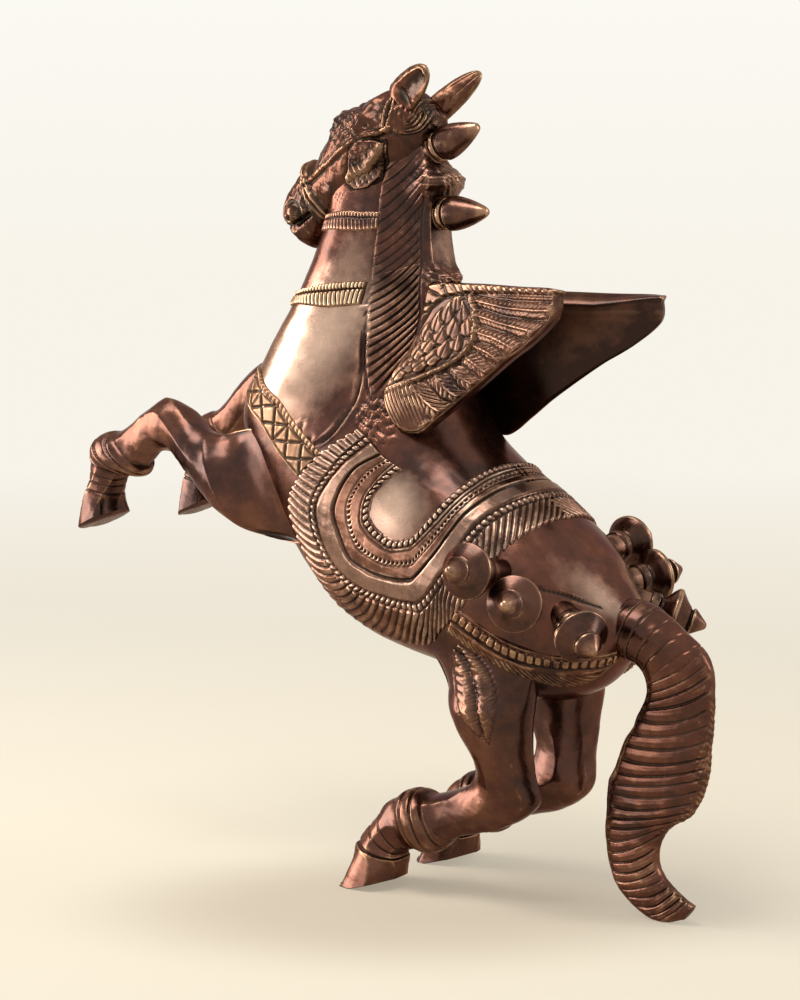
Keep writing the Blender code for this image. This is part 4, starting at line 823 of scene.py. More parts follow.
def head_carving(points):
    """Height and rubbing of the head's carving, worked out in the side view."""
    x = points[..., 0] - HOOVES_X
    z = points[..., 2]
    side = np.stack([x, z], -1)
    # Cheek leaf: a raised outline and ridge, its upper part cut with a mesh, its lower part with strokes
    leaf_gap = path_gap(side, LEAF)[0]
    ridge_gap = path_gap(side, LEAF_RIDGE)[0]
    in_leaf = inside(x, z, LEAF)
    lower = ramp((z - 268.2) + 0.35 * (x + 8), 1.0, -1.0)
    bent = 0.5 * np.sin(1.7 * x + 0.9 * z) + 0.4 * np.sin(2.3 * z - 0.8 * x)
    mesh = scored(x + bent, z, 38, 1.15, 0.4) + 0.8 * scored(x, z + bent, -47, 1.3, 0.4)
    carved = 1.5 * ramp(leaf_gap, 0, 0.9) + 1.3 * hump(ridge_gap, 2.0)
    carved -= 0.26 * mesh * (1 - lower) * ramp(leaf_gap, 0.6, 1.2) * ramp(ridge_gap, 1.0, 2.0)
    carved -= 0.75 * scored(x, z, 62, 2.3, 0.34) * lower * ramp(leaf_gap, 0.8, 1.8)
    rise = in_leaf * carved - 0.75 * hump(leaf_gap, 0.55)
    shine = 0.30 + in_leaf * (0.55 * hump(ridge_gap, 2.2) + 0.2 * lower)
    # Bridle, a twisted cord, and noseband
    cord_gap, cord_place = path_gap(side, BRIDLE)
    strand = repeat((cord_place + 0.8 * cord_gap) / 2.6)
    rise += (0.95 - 0.2 * strand**3) * np.clip(1 - (cord_gap / 1.5) ** 2, 0, 1)
    rise -= 0.35 * hump(cord_gap, 0.5, 1.9)
    band_gap = path_gap(side, NOSEBAND)[0]
    rise += 1.35 * ramp(band_gap, 2.3, 1.5) - 0.9 * hump(band_gap, 0.38)
    rise -= 1.3 * hump(band_gap, 1.0, 3.0) * ramp(x, -36, -44)
    shine += 0.3 * hump(cord_gap, 0.9) + 0.5 * hump(band_gap, 0.6, 1.2)
    # Nostril, mouth and plain swellings
    nostril = np.hypot(x + 47.2, (z - 250.6) / 1.1)
    rise += 1.9 * hump(nostril, 3.6) - 2.0 * hump(np.hypot(x + 48.2, z - 249.3), 1.1)
    rise -= 0.7 * hump(nostril, 0.6, 4.9) + 2.0 * hump(path_gap(side, MOUTH)[0], 1.0)
    shine += 0.5 * hump(nostril, 3.6)
    for height, middle, half, lean in HEAD_SWELLS:
        rise += height * swelling(x, z, middle, half, lean)
    # Eye, a slit between two lids, under a brow with a drilled tear hole
    eye_gap = path_gap(side, EYE)[0]
    hollow = inside(x, z, EYE)
    rise += 0.95 * hump(eye_gap, 0.75, 0.15) * (1 - hollow) - 1.3 * hollow
    shine += 0.9 * hump(eye_gap, 0.6, 0.2) * (1 - hollow) - 0.4 * hollow
    rise += 0.9 * hump(path_gap(side, BROW)[0], 2.4) - 0.8 * hump(np.hypot(x + 7.0, z - 283.4), 0.9, power=4)
    # Curls on the forehead, the rosette's rings and strokes, and graver cuts on the jaw
    forehead = ramp(x, -10.5, -12.5) * ramp(x, -30, -26) * ramp(z, 276.5, 280.5)
    curls = np.sin(x * 1.15 + 0.4 * z + bent) * np.sin(z * 1.25 - 0.3 * x)
    crossed = scored(x + bent, z, 40, 1.9, 0.4) + scored(x, z + bent, -38, 2.1, 0.4)
    rise += forehead * (0.4 * curls - 0.3 * crossed)
    wheel = np.hypot(x - ROSETTE[0], z - ROSETTE[1])
    bearing = np.degrees(np.arctan2(z - ROSETTE[1], x - ROSETTE[0]))
    quarter = ramp(bearing, -100, -80) * ramp(bearing, 35, 15)
    rise += 0.8 * ramp(wheel, ROSETTE_SIZE + 0.2, ROSETTE_SIZE - 0.8)
    rise -= 0.6 * cuts(wheel / 1.25, 0.4) * quarter * (wheel > 1.0) * (wheel < ROSETTE_SIZE)
    rise -= 0.3 * scored(x, z, 80, 1.4) * (1 - quarter) * (wheel < ROSETTE_SIZE - 0.6)
    shine -= 0.2 * (wheel < ROSETTE_SIZE)
    jaw = ramp(z, 251, 252.5) * ramp(z, 259.5, 258.0) * ramp(x, -24, -22) * ramp(-x, 2, 4)
    rise -= 0.22 * jaw * (scored(x, z, 25, 1.5) + scored(x, z, -60, 1.7))
    return rise, shine


head_patina = patina("head_patina", HEAD_TONES, wear=0.60, cloud_size=0.02)
at, turn, points, normal = rounds(SKULL, HEAD_RINGS, HEAD_SIDES)
rise, shine = head_carving(points)
rise = rise + filed(points, 0.16) + filed(points * 2.3, 0.14)
casting("head_casting", raised(points, normal, rise), head_patina, nodes=["head"], rub_and_painted_light=shine, span=0.35)
at, turn, points, normal = rounds(TRUNK, THROAT_RINGS, THROAT_SIDES, THROAT_SEAM - 0.1)
rise, shine = head_carving(points)
rise = rise * ramp(np.abs(points[..., 1]), 9, 12) + trunk_relief(at, turn, points, 0.08)
shine = np.maximum(shine - 0.30, 0) + trunk_rub_and_highlights(at, turn)
casting("throat", raised(points, normal, rise), torso_patina, rub_and_painted_light=shine, span=0.35)

# Ears: cast with the head, leaf-shaped and pointed, each with a cup in its outer face and furrows on its
# inner one. Each has its own foot, tip and slimness.
EARS = (
    ("left", (6.0, -8.0, 293.0), (25.0, -16.5, 303.2), 1.0, False),
    ("right", (9.5, -8.0, 288.5), (25.0, -16.5, 303.4), 0.78, True),
)
EAR_RINGS = 70
EAR_SIDES = 104
EAR_WIDTH = 14.0
EAR_DEPTH = 7.5
EAR_CUP = 2.0
EAR_FACE = (0.45, 0.0, -0.9)

ear_patina = patina("ear_patina", HEAD_TONES, rough=0.3)
share = np.linspace(0, 1, EAR_RINGS)[:, None]
turn = full_turn(EAR_SIDES)[None]
swell = np.sqrt(np.clip(1 - (np.clip(share - 0.15, 0, 1) / 0.85) ** 2, 0.0004, 1))
wide = EAR_WIDTH / 2 * swell * np.cos(turn)
out = EAR_DEPTH / 2 * swell * np.sin(turn)
off = (np.cos(turn) + 0.22) / 0.82
cup = ramp(out, 0.0, 0.9) * np.clip(1 - off**2, 0, 1) ** 1.2 * ramp(share, 0.06, 0.3)
cup = cup * ramp(share, 0.95, 0.80) * (1 + 0.5 * hump(share, 0.1, 0.2))
furrows = ramp(-out, 0.3, 1.5) * ramp(share, 0.35, 0.6) * cuts(off * 1.2, 0.16)
out = out - EAR_CUP * cup + 0.4 * furrows
for word, base, tip, slim, mirror in EARS:
    axis = np.array(tip) - np.array(base)
    face = np.cross(axis, EAR_FACE)
    face *= -np.sign(face[1]) / np.linalg.norm(face)
    edge = np.cross(axis, face)
    edge *= np.sign(edge[2]) / np.linalg.norm(edge)
    rings = np.array(base) + share[..., None] * axis + slim * wide[..., None] * edge + out[..., None] * face
    rings = rings + filed(rings * 2.1, 0.12)[..., None] * face
    casting(f"{word}_ear", rings, ear_patina, rub_and_painted_light=0.42 - 0.9 * cup, mirror=mirror)

# Forelegs: bent at the knee and held out in front, one casting each on a spigot in the breast, with
# knotted cords cast above the hooves.
FORELEG = [
    (-22, 126, -36, 172, 13, -26), (-36, 127, -55, 170, 13, -28), (-51, 129, -68, 167, 13, -29),
    (-62, 133, -76, 169, 12, -29), (-72, 140, -83, 174, 11, -29), (-82, 149, -89, 178, 10, -29),
    (-91, 157, -97, 180, 9.5, -29), (-100, 158, -107, 175, 9, -29), (-107, 153, -119, 167, 8.5, -29),
    (-111, 149, -132, 162, 10, -29), (-119.5, 148, -136.5, 153.5, 8.5, -29),
    (-122.5, 143, -138, 146, 8.5, -29), (-124, 137, -140.5, 138.5, 9.5, -29, 2.2),
    (-123, 133.5, -142.5, 125, 11, -29, 2.3),
]
RIGHT_KNEE_LIFT = 12.0
LEG_RINGS = 300
LEG_SIDES = 112
FLATS = 6
FLAT_SHARE = 0.42
CLEFT_TURN = 3.95
LEG_TONES = ((0.018, 0.013, 0.010), (0.042, 0.020, 0.016), (0.116, 0.043, 0.026),
             (0.270, 0.140, 0.080), (0.420, 0.240, 0.130))
# What is worked on each leg, mostly by rib number: the middle and half length of its knotted cord and that
# cord's twist, the two cuts above the hoof and the one at its crown, how proud the hoof stands and from
# where to where that and its cleft begin, where the flats begin and how they are turned, and where the top
# comes out from under the trunk
FORE_WORK = {
    "cord": (9.15, 0.85), "twist": 0.55, "pasterns": (10.55, 11.0), "crown": 11.52, "proud": -0.35,
    "hoof": (-1, 0), "cleft": (11.7, 12.0), "flats": (1.5, 3.5), "flats_turn": 0.35, "tuck": (0.2, 2.6),
}
HIND_WORK = {
    "cord": (7.95, 0.62), "twist": -0.45, "pasterns": (9.75, 10.35), "crown": 11.07, "proud": 0.5,
    "hoof": (11.1, 11.25), "cleft": (11.3, 11.6), "flats": (2.5, 4.5), "flats_turn": 0.1, "tuck": (0.1, 2.4),
}


def facets(at, turn, start):
    """How far a limb filed to flat faces lies inside its round, as a share of its half width: a polygon
    that sways a little round the limb along its length."""
    step = 2 * math.pi / FLATS
    bearing = (turn + start + 0.3 * np.sin(1.1 * at)) % step - step / 2
    return 1 - math.cos(step / 2) / np.cos(bearing)


def knotted(at, turn, middle, half, twist):
    """Height of the knotted cord cast round a fetlock: a round swelling that slanting cuts part into
    twisted strands."""
    swell = np.sqrt(np.clip(1 - ((at - middle) / half) ** 2, 0, 1))
    return swell * (1.5 - 1.25 * cuts((at - middle) / (0.66 * half) + twist * np.sin(turn + 0.6), 0.20))


def side_map(points, cell=0.7, grown=5):
    """Look-up of the outermost distance from the middle plane by place in the side view: the largest in
    each small square, grown over bare squares beside it and smoothed."""
    x, y, z = (points[..., axis].ravel() for axis in range(3))
    low = np.array((x.min(), z.min())) - 6
    size = ((np.array((x.max(), z.max())) + 6 - low) / cell).astype(int)
    grid = np.zeros(size + 1)
    np.maximum.at(grid, (((x - low[0]) / cell).astype(int), ((z - low[1]) / cell).astype(int)), np.abs(y))

    def beside():
        """The four squares beside each one."""
        return np.stack([np.roll(grid, step, axis) for axis in (0, 1) for step in (-1, 1)])

    for _ in range(grown):
        grid = np.where(grid > 0, grid, beside().max(0))
    for _ in range(6):
        grid = (grid + beside().sum(0)) / 5

    def look(at_x, at_z):
        """Height between the four squares round a place, by shares of the way between them."""
        across = np.clip((at_x - low[0]) / cell - 0.5, 0, size[0] - 1.001)
        above = np.clip((at_z - low[1]) / cell - 0.5, 0, size[1] - 1.001)
        i, j = across.astype(int), above.astype(int)
        u, v = across - i, above - j
        lower = grid[i, j] * (1 - u) + grid[i + 1, j] * u
        return lower * (1 - v) + (grid[i, j + 1] * (1 - u) + grid[i + 1, j + 1] * u) * v

    return look


def outer_share(points, low, high):
    """Share that rises from 0 to 1 with the distance outwards from a limb's middle."""
    return ramp(points[..., 1].mean(axis=1, keepdims=True) - points[..., 1], low, high)


def tucked(points, at, start, end, surface, under=0.9):
    """A limb whose outer side is drawn to just under the trunk's skin at its top, and less and less
    from one rib number to the other."""
    moved = points.copy()
    moved[..., 1] -= ramp(at, end, start) * outer_share(points, -2.0, 6.0) * (
        surface(points[..., 0], points[..., 2]) - under + points[..., 1])
    return moved


def leg(table, rings, cord, twist, pasterns, crown, proud, hoof, cleft, flats, flats_turn, tuck):
    """Points of a leg and where its cord is: the cord, cuts and the hoof's cleft on its round skin, flats
    filed between them, and its top drawn in under the trunk."""
    at, turn, points, normal = rounds(table, rings, LEG_SIDES)
    knot = hump(at, cord[1], cord[0], power=4)
    relief = knotted(at, turn, *cord, twist) + proud * ramp(at, *hoof) - 0.5 * hump(at, 0.06, crown)
    relief = relief - 0.4 * sum(hump(at, 0.05, place) for place in pasterns)
    relief = relief - 0.8 * hump(turn, 0.09, CLEFT_TURN) * ramp(at, *cleft)
    flat = facets(at, turn, flats_turn) * spline(table, at)[..., 4] * (1 - knot) * ramp(at, *flats)
    points = raised(points, normal, relief - FLAT_SHARE * flat + filed(points, 0.12))
    return tucked(points, at, *tuck, trunk_side), knot


leg_patina = patina("leg_patina", LEG_TONES, wear=0.42)
flank_turns = np.linspace(math.pi / 2, 1.5 * math.pi, 430)
trunk_side = side_map(skin(TRUNK, np.linspace(0, 12, 620)[:, None], flank_turns[None])[0])
for word, mirror in SIDES:
    table = ribs(FORELEG)
    if mirror:
        lift = RIGHT_KNEE_LIFT * hump(np.maximum(np.arange(len(table)) - 5.5, 0), 3)
        table[:, [1, 3]] += lift[:, None]
    points, knot = leg(table, LEG_RINGS, **FORE_WORK)
    casting(f"{word}_foreleg_casting", points, leg_patina, nodes=[f"{word}_foreleg"], mirror=mirror,
            rub_and_painted_light=0.42 + 0.1 * knot)

# Hind legs: castings like the forelegs, with two feathers cast on each thigh. They carry the statue, set
# on spigots in the haunches and sawn flat where the hooves stand.
HIND_LEG = ribs([
    (30, 96, 80, 104, 15, -22), (32, 88, 77, 92, 16, -23), (38, 76, 73, 78, 14.5, -23),
    (44, 63, 71, 64, 12.5, -22), (48, 54, 71, 51, 11, -20), (46, 46, 72, 38, 10, -17.5),
    (38, 41, 60, 29, 9, -18), (28, 37.5, 40, 23, 8.5, -19), (19, 37, 29, 17, 11, -20),
    (9, 33.5, 20, 15, 9.5, -20), (3, 26, 15, 13.5, 9, -21), (-3, 18, 14.5, 11.5, 10.5, -22),
    (-5, 9.5, 14, 8.5, 11.5, -23, 2.2), (-10, -2.6, 13.5, 4.0, 13, -23.5, 2.3),
])
HIND_LEG_RINGS = 360
# The two feathers cast on the thigh, in the side view: each an outline and its quill
THIGH_FEATHERS = (
    (((46.2, 99.0), (53.5, 96.5), (60.0, 90.5), (64.4, 83.0), (65.6, 74.5), (62.0, 62.5), (60.0, 70.0),
      (58.0, 80.0), (53.0, 90.0), (46.2, 99.0)), ((47.0, 98.5), (56.0, 91.0), (61.5, 80.0), (62.5, 66.0))),
    (((45.2, 97.0), (51.5, 91.0), (56.5, 81.5), (58.4, 72.0), (60.0, 64.5), (53.0, 70.5), (47.6, 78.5),
      (44.6, 88.0), (45.2, 97.0)), ((45.6, 96.0), (50.0, 86.0), (54.5, 75.0), (59.0, 66.0))),
)
FEATHER_PROUD = 0.9


def thigh_feathers(points):
    """Height of the feathers on the thigh: each raised inside its outline, with cut barbs that slant off
    a raised quill."""
    x = points[..., 0] - HOOVES_X
    z = points[..., 2]
    side = np.stack([x, z], -1)
    rise = 0
    for outline, quill in THIGH_FEATHERS:
        within = inside(x, z, outline)
        edge_gap = path_gap(side, outline)[0]
        quill_gap, quill_place = path_gap(side, quill)
        barbs = cuts((quill_place - 1.5 * quill_gap) / 2.1, 0.3)
        rise += within * (1.2 * ramp(edge_gap, 0, 1.0) - 0.6 * barbs + 0.5 * hump(quill_gap, 0.5))
        rise -= (1 - within) * 0.6 * hump(edge_gap, 0.6)
    return rise


points, knot = leg(HIND_LEG, HIND_LEG_RINGS, **HIND_WORK)
feather = thigh_feathers(points) * outer_share(points, 0.0, 5.0)
points[..., 1] -= feather * FEATHER_PROUD
points[..., 2] = np.maximum(points[..., 2], 0)
for word, mirror in SIDES:
    casting(f"{word}_hind_leg_casting", points, leg_patina, nodes=[f"{word}_hind_leg"], mirror=mirror,
            rub_and_painted_light=0.42 + 0.1 * knot + 0.2 * (feather > 0.2))
leg_side = side_map(points, grown=2)

# Haunch strap: a raised strip cast from the back of the saddle cloth over the thigh and round the haunch
# under the dock, set with square studs over a band of slanting leaves.
HAUNCH_UPPER = ((3.75, -2.4), (3.26, -3.0), (2.78, -4.0), (2.33, -3.4), (1.77, -1.5), (1.17, 1.5),
                (0.55, 2.0), (0.20, 1.5))
HAUNCH_LOWER = ((3.75, -18.5), (3.28, -20.5), (2.72, -23.5), (2.20, -28), (1.64, -38), (1.10, -44),
                (0.55, -40), (0.20, -34))
HAUNCH_ROWS = 380
HAUNCH_COLUMNS = 50
STUD_PITCH = 3.2
LEAF_PITCH = 2.6
# How softly the strap passes from the trunk on to the thigh, in square millimetres
HAUNCH_BLEND = 4.0
HAUNCH_TONES = ((0.018, 0.012, 0.007), (0.040, 0.015, 0.009), (0.135, 0.046, 0.021),
                (0.300, 0.160, 0.085), (0.420, 0.250, 0.140))

across = np.linspace(0, 1, HAUNCH_COLUMNS)
points = laid(np.stack([HAUNCH_LOWER, HAUNCH_UPPER], axis=1), HAUNCH_ROWS, across)[0]
leg_out = leg_side(points[..., 0], points[..., 2])
trunk_out = -points[..., 1]
points[..., 1] = -(trunk_out + leg_out + np.sqrt((trunk_out - leg_out) ** 2 + HAUNCH_BLEND)) / 2
normal = np.cross(np.gradient(points, axis=0), np.gradient(points, axis=1))
normal /= np.linalg.norm(normal, axis=-1, keepdims=True)
normal *= -np.sign(normal[..., 1].sum())
length, wide = measured(points)
low_gap = across * wide
top_gap = (1 - across) * wide
studs = beads(length, top_gap - 2.9, STUD_PITCH, 1.6, 4.0, 0.82)
rise = 0.7 * ramp(np.minimum(low_gap, top_gap), 0, 0.7) + 0.65 * studs
rise -= 0.5 * hump(top_gap, 0.3, 0.9) + 0.6 * hump(top_gap, 0.4, 5.0)
rise += 0.35 * ramp(top_gap, 5.3, 6.2) * (1 - ramp(low_gap, 2.4, 0.8))
leaves = cuts((length + 1.4 * low_gap) / LEAF_PITCH, 0.26)
rise -= 0.55 * leaves * ramp(top_gap, 7.2, 8.0) * ramp(low_gap, 0.1, 0.6)
rise = sunk(rise + filed(points, 0.12), ended(length), 0.9)
haunch_patina = patina("haunch_strap_patina", HAUNCH_TONES, rough=0.3)
for word, mirror in SIDES:
    strip(f"{word}_haunch_strap", points, normal, rise, 1.6, haunch_patina, 0.40 + 0.2 * studs, mirror)

# Tail: a flat blade that stands on its tip behind the hooves, combed across with curved grooves, its
# ringed dock set in the rump.
TAIL = ribs([
    (92, 94, 98, 115, 10.5), (99, 93, 108, 114, 11), (106, 90, 121, 106, 9.5), (108, 82, 133, 96, 7, 0, 2.3),
    (104, 74, 135.2, 81, 5.5, 0, 2.3), (97, 64, 134.4, 65, 5.5, 0, 2.3), (92, 50, 133, 52, 5.5, 0, 2.3),
    (91, 38, 127, 40, 5.5, 0, 2.3), (91, 27, 116, 32, 5.5, 0, 2.3), (94, 14, 113, 21, 5.5, 0, 2.3),
    (101, 5, 118, 14, 5.0, 0, 2.2), (113, -0.9, 124, 10, 4.0, 0, 2.0), (124, 1.5, 128.5, 8, 2.5, 0, 2.0),
])
TAIL_RINGS = 500
TAIL_SIDES = 124
GROOVES_PER_RIB = 2.75
RINGS_PER_RIB = 2.3
TAIL_TONES = ((0.022, 0.016, 0.010), (0.038, 0.018, 0.014), (0.122, 0.042, 0.024),
              (0.360, 0.220, 0.140), (0.360, 0.210, 0.120))

tail_patina = patina("tail_patina", TAIL_TONES, wear=0.34)
at, turn, points, normal = rounds(TAIL, TAIL_RINGS, TAIL_SIDES)
height = to_power(np.sin(turn), 0.9)
bow = 0.22 * height**2 + 0.16 * height * ramp(at, 3, 6) * (1 - 2 * ramp(at, 7.5, 10))
groove = (at + bow) * GROOVES_PER_RIB + 0.16 * np.sin(2.1 * at) + 0.08 * np.sin(5.3 * at + 2 * height)
face = ramp(height, 0.97, 0.86) * ramp(-height, 0.84, 0.70 + 0.06 * np.sin(9 * at))
relief = 0.16 * (1 - repeat(groove)) ** 2 - (0.62 + 0.2 * np.sin(3.7 * at)) * cuts(groove, 0.17)
relief = relief * face * ramp(at, 2.6, 3.0) * ramp(at, 11.8, 11.3)
facet = ramp(-height, 0.70, 0.95) * ramp(at, 4.0, 4.5) * ramp(at, 6.2, 5.7)
dock = ramp(at, 0.3, 0.5) * ramp(at, 2.7, 2.5)
relief -= 1.3 * facet + 0.5 * dock * cuts(at * RINGS_PER_RIB + 0.10 * np.sin(turn), 0.10)
pits = ramp(height, 0.55, 0.95) * ramp(at, 3.5, 4.5) * ramp(at, 9, 7.5)
relief += filed(points, 0.12) - 0.25 + 0.3 * pits * filed(points * 4.3, 0.6)
points = raised(points, normal, relief)
points[..., 2] = np.maximum(points[..., 2], 0)
# The tail's cut facet is made much lighter than the rest: a painted highlight.
casting("tail_casting", points, tail_patina, nodes=["tail"], rub_and_painted_light=0.40 + 0.9 * facet)

# Wings: flat castings on tenons in the shoulders, feathered outside with a border of lobes and a panel
# of scales inside a raised rim, and left plain on their inner faces.
WING_OUTLINE = (
    (7.5, 42.7), (32, 43.6), (58, 43), (76, 42.6), (77.5, 40), (76.3, 32.5), (66, 24), (53, 16.3),
    (35, 3.8), (24, -5), (14.5, -11.8), (5.5, -9.8), (1, -1.5), (1.7, 7), (5, 20), (6.5, 33),
)
FAN_ROOT = (9.0, 0.0)
WING_ROOT = (13.0, -17.9, 183.0)
RIGHT_SHIFT = (3.0, 0.0, -3.5)
WING_SPLAY = math.radians(15.5)
WING_LEAN = math.radians(7.8)
WING_THICKNESS = 5.0
WING_DISH = 11.0
WING_DISH_RADIUS = 22.0
WING_RIM = np.array((
    (31.3, 39.1), (32.4, 37.7), (35.3, 33.7), (36.3, 29.6), (36.5, 23.5), (32.8, 18.5), (26.8, 14.5),
    (19.5, 10.7), (10, 6), (-1.9, 0.8),
))
WING_BORDER = np.array((
    (80, 39.9), (32, 39.9), (29, 39.7), (16.9, 38.1), (10.7, 34.4), (7.7, 28.7), (4.6, 21.6),
    (3.9, 15.9), (0.2, 10.1), (-3.5, 4.2),
))
# Lines between the feathers, from the rim outwards
FEATHERS = (
    ((32.3, 39.8), (41.2, 39), (56.5, 38), (80, 37.9)),
    ((36.4, 35.1), (51, 32.4), (68.1, 31.3), (80, 32.0)),
    ((38.6, 29), (52, 26.7), (66.3, 23.9), (76, 21.5)),
    ((38.6, 22.9), (46.4, 21.8), (55.6, 18.4), (64, 15.0)),
    ((37, 19.4), (45.2, 16.3), (54, 12.9)), ((30.1, 14.9), (37.3, 11.8), (47, 7.6)),
    ((25.1, 11.3), (31.6, 6.1), (42, 3.8)), ((18, 6.7), (24.6, 1.5), (34, -0.5)),
    ((8.4, 2), (16.6, -4.5), (24, -7.8)),
)
RIM_HALF = 1.2
BARB_PITCH = 2.3
LOBE_ALONG = 4.3
HATCH_PITCH = 1.7
# Scales of the panel: the middle of each, its half length and its lean in degrees, lowest first
SCALES = (
    (5.9, 9.4, 3.0, 52), (9.4, 13.6, 3.4, 56), (13.6, 13.4, 3.2, 48), (10.6, 18.6, 3.4, 60),
    (18.4, 16.6, 3.4, 52), (14.4, 21.6, 3.7, 62), (22.6, 19.6, 3.4, 58), (11.9, 26.0, 3.3, 66),
    (19.4, 25.4, 3.9, 66), (27.6, 22.6, 3.3, 66), (15.6, 29.6, 3.6, 72), (25.2, 27.8, 3.9, 76),
    (31.8, 28.4, 3.6, 96), (20.6, 33.0, 3.6, 70), (28.6, 33.6, 3.5, 92), (24.8, 36.4, 3.0, 84),
)
WING_ANGLES = np.concatenate([
    np.linspace(-0.35, 2.2, 470, endpoint=False), np.linspace(2.2, 2 * math.pi - 0.35, 100, endpoint=False),
])
OUTER_SHARES = np.concatenate([np.linspace(0.015, 0.985, 116), np.linspace(0.988, 1.0, 5)])
INNER_SHARES = np.concatenate([np.linspace(0.015, 0.97, 11), np.linspace(0.98, 1.0, 4)])
WING_TONES = ((0.040, 0.029, 0.020), (0.030, 0.013, 0.009), (0.110, 0.045, 0.026),
              (0.200, 0.108, 0.068), (0.420, 0.245, 0.145))


def outline_reach(angles, corners):
    """Distance from the fan's root to the closed smooth outline through these corners, by direction."""
    wrapped = np.array([*corners[-2:], *corners, *corners[:3]], float)
    rows = np.linspace(2, len(corners) + 2, 40 * len(corners), endpoint=False)
    dense = spline(wrapped, rows) - np.array(FAN_ROOT)
    bearing = np.arctan2(dense[:, 1], dense[:, 0])
    order = np.argsort(bearing)
    return np.interp(angles, bearing[order], np.hypot(dense[:, 0], dense[:, 1])[order], period=2 * math.pi)


def in_fan(share):
    """Place along and up the wing at a share of the way from the fan's root to the outline."""
    return FAN_ROOT[0] + reach * share * np.cos(angles), FAN_ROOT[1] + reach * share * np.sin(angles)


def leaf_scales(along, up):
    """Height of pointed scales that lie over one another up the panel: each a leaf, flat on its face, with
    a cut middle line and a cut all round it."""
    height = np.zeros(along.shape)
    for x, y, long, lean in SCALES:
        turned = math.radians(lean + 9 * math.sin(3.1 * x + y))
        ahead = ((along - x) * math.cos(turned) + (up - y) * math.sin(turned)) / (1.2 * long)
        aside = (up - y) * math.cos(turned) - (along - x) * math.sin(turned)
        aside = aside / (0.86 * long * (1 - 0.4 * ahead))
        far = np.hypot(ahead, aside)
        tilt = 0.25 * ahead + 0.2 * aside * math.sin(2.3 * y)
        leaf = 0.45 + 0.55 * np.clip(1 - far**3, 0, 1) ** 0.6 + tilt
        leaf -= 0.4 * hump(aside, 0.12) * (ahead < 0.4)
        height = np.where(far < 1, leaf, height) - 0.45 * hump(far, 0.08, 1.06)
    return height


def wing_carving(along, up):
    """Height and rubbing of the outer face: feathers with slanting barbs off a raised quill outside the
    panel's rim, scales inside it, slanting lobes along the border and hatching at the root."""
    place = np.stack([along, up], -1)
    rim_gap = path_gap(place, WING_RIM)[0]
    gaps = np.sort(np.stack([path_gap(place, line)[0] for line in FEATHERS]), axis=0)
    both = np.maximum(gaps[0] + gaps[1], 0.1)
    quill = 2 * gaps[0] / both
    aside = (1 - quill) * both / 2
    barbs = cuts((rim_gap - 1.25 * aside + 0.35 * np.sin(up)) / BARB_PITCH, 0.30)
    feathers = 0.9 * np.sqrt(np.clip(quill, 0, 1)) - 0.9 * hump(gaps[0], 0.45) + 0.4 * hump(aside, 0.4)
    feathers -= 0.6 * barbs * ramp(gaps[0], 0.3, 0.8) * ramp(aside, 0.2, 0.6)
    fan = (along > np.interp(up, WING_RIM[::-1, 1], WING_RIM[::-1, 0])) & (up < 41)
    rise = np.where(fan, feathers, leaf_scales(along, up))
    left_of = np.interp(up, WING_BORDER[:1:-1, 1], WING_BORDER[:1:-1, 0])
    border = ((along < left_of) | (up > 39.9)) & (up > 3)
    border_gap, border_place = path_gap(place, WING_BORDER)
    lobes = (border_place - 0.7 * border_gap + 0.5 * np.sin(0.7 * border_place)) / LOBE_ALONG
    lobe = 0.35 + 0.65 * np.sqrt(np.clip(1 - repeat(lobes) ** 2, 0, 1)) * ramp(border_gap, 0.3, 1.4)
    lobe -= 0.75 * cuts(lobes, 0.18) * ramp(border_gap, 0.2, 1.0)
    rise = np.where(border, lobe, rise) - 0.75 * hump(border_gap, 0.45) * (up > 3)
    rim = 1.1 * np.sqrt(np.clip(1 - (rim_gap / RIM_HALF) ** 2, 0, 1)) - 0.5 * hump(rim_gap, 0.45, 1.7)
    rise += rim * ~border
    hatched = ramp(np.hypot(along - FAN_ROOT[0], up - FAN_ROOT[1] + 5), 13, 8)
    plain = 0.25 - 0.3 * cuts((along + 0.5 * up) / HATCH_PITCH, 0.25)
    shine = 0.58 + 0.25 * (rim_gap < RIM_HALF) + 0.1 * border - 0.3 * hatched
    return rise + (plain - rise) * hatched, shine


wing_patina = patina("wing_patina", WING_TONES, rough=0.3, wear=0.36, cloud_size=0.025)
angles = WING_ANGLES[None]
reach = outline_reach(angles, WING_OUTLINE)
edge = np.stack(in_fan(1.0), -1)[0, ::6]
edge = np.concatenate([edge, edge[:1]])
faces = []
for outer in (True, False):
    along, up = in_fan((OUTER_SHARES if outer else INNER_SHARES[::-1])[:, None])
    out = WING_DISH * hump(np.hypot(along, up), WING_DISH_RADIUS)
    to_edge = path_gap(np.stack([along, up], -1), edge)[0]
    if outer:
        rise, shine = wing_carving(along, up)
        out = out + rise * ramp(to_edge, 0, 1.0) - 0.5 * ramp(to_edge, 0.6, 0)
    else:
        out = out - WING_THICKNESS + 0.5 * ramp(to_edge, 0.6, 0)
        # The inner face is darkened all over, which is painted shade, with a lighter streak near its top
        # edge.
        shine = -0.2 + 0.9 * hump(up, 2.4, 37.0) * ramp(along, 28, 44)
        up = up - 3.3 * np.clip((up - 36) / 6, 0, 1) * np.clip((76 - along) / 24, 0, 1)
    faces.append(np.stack([along, up, out, shine], -1))
faces = np.concatenate(faces)
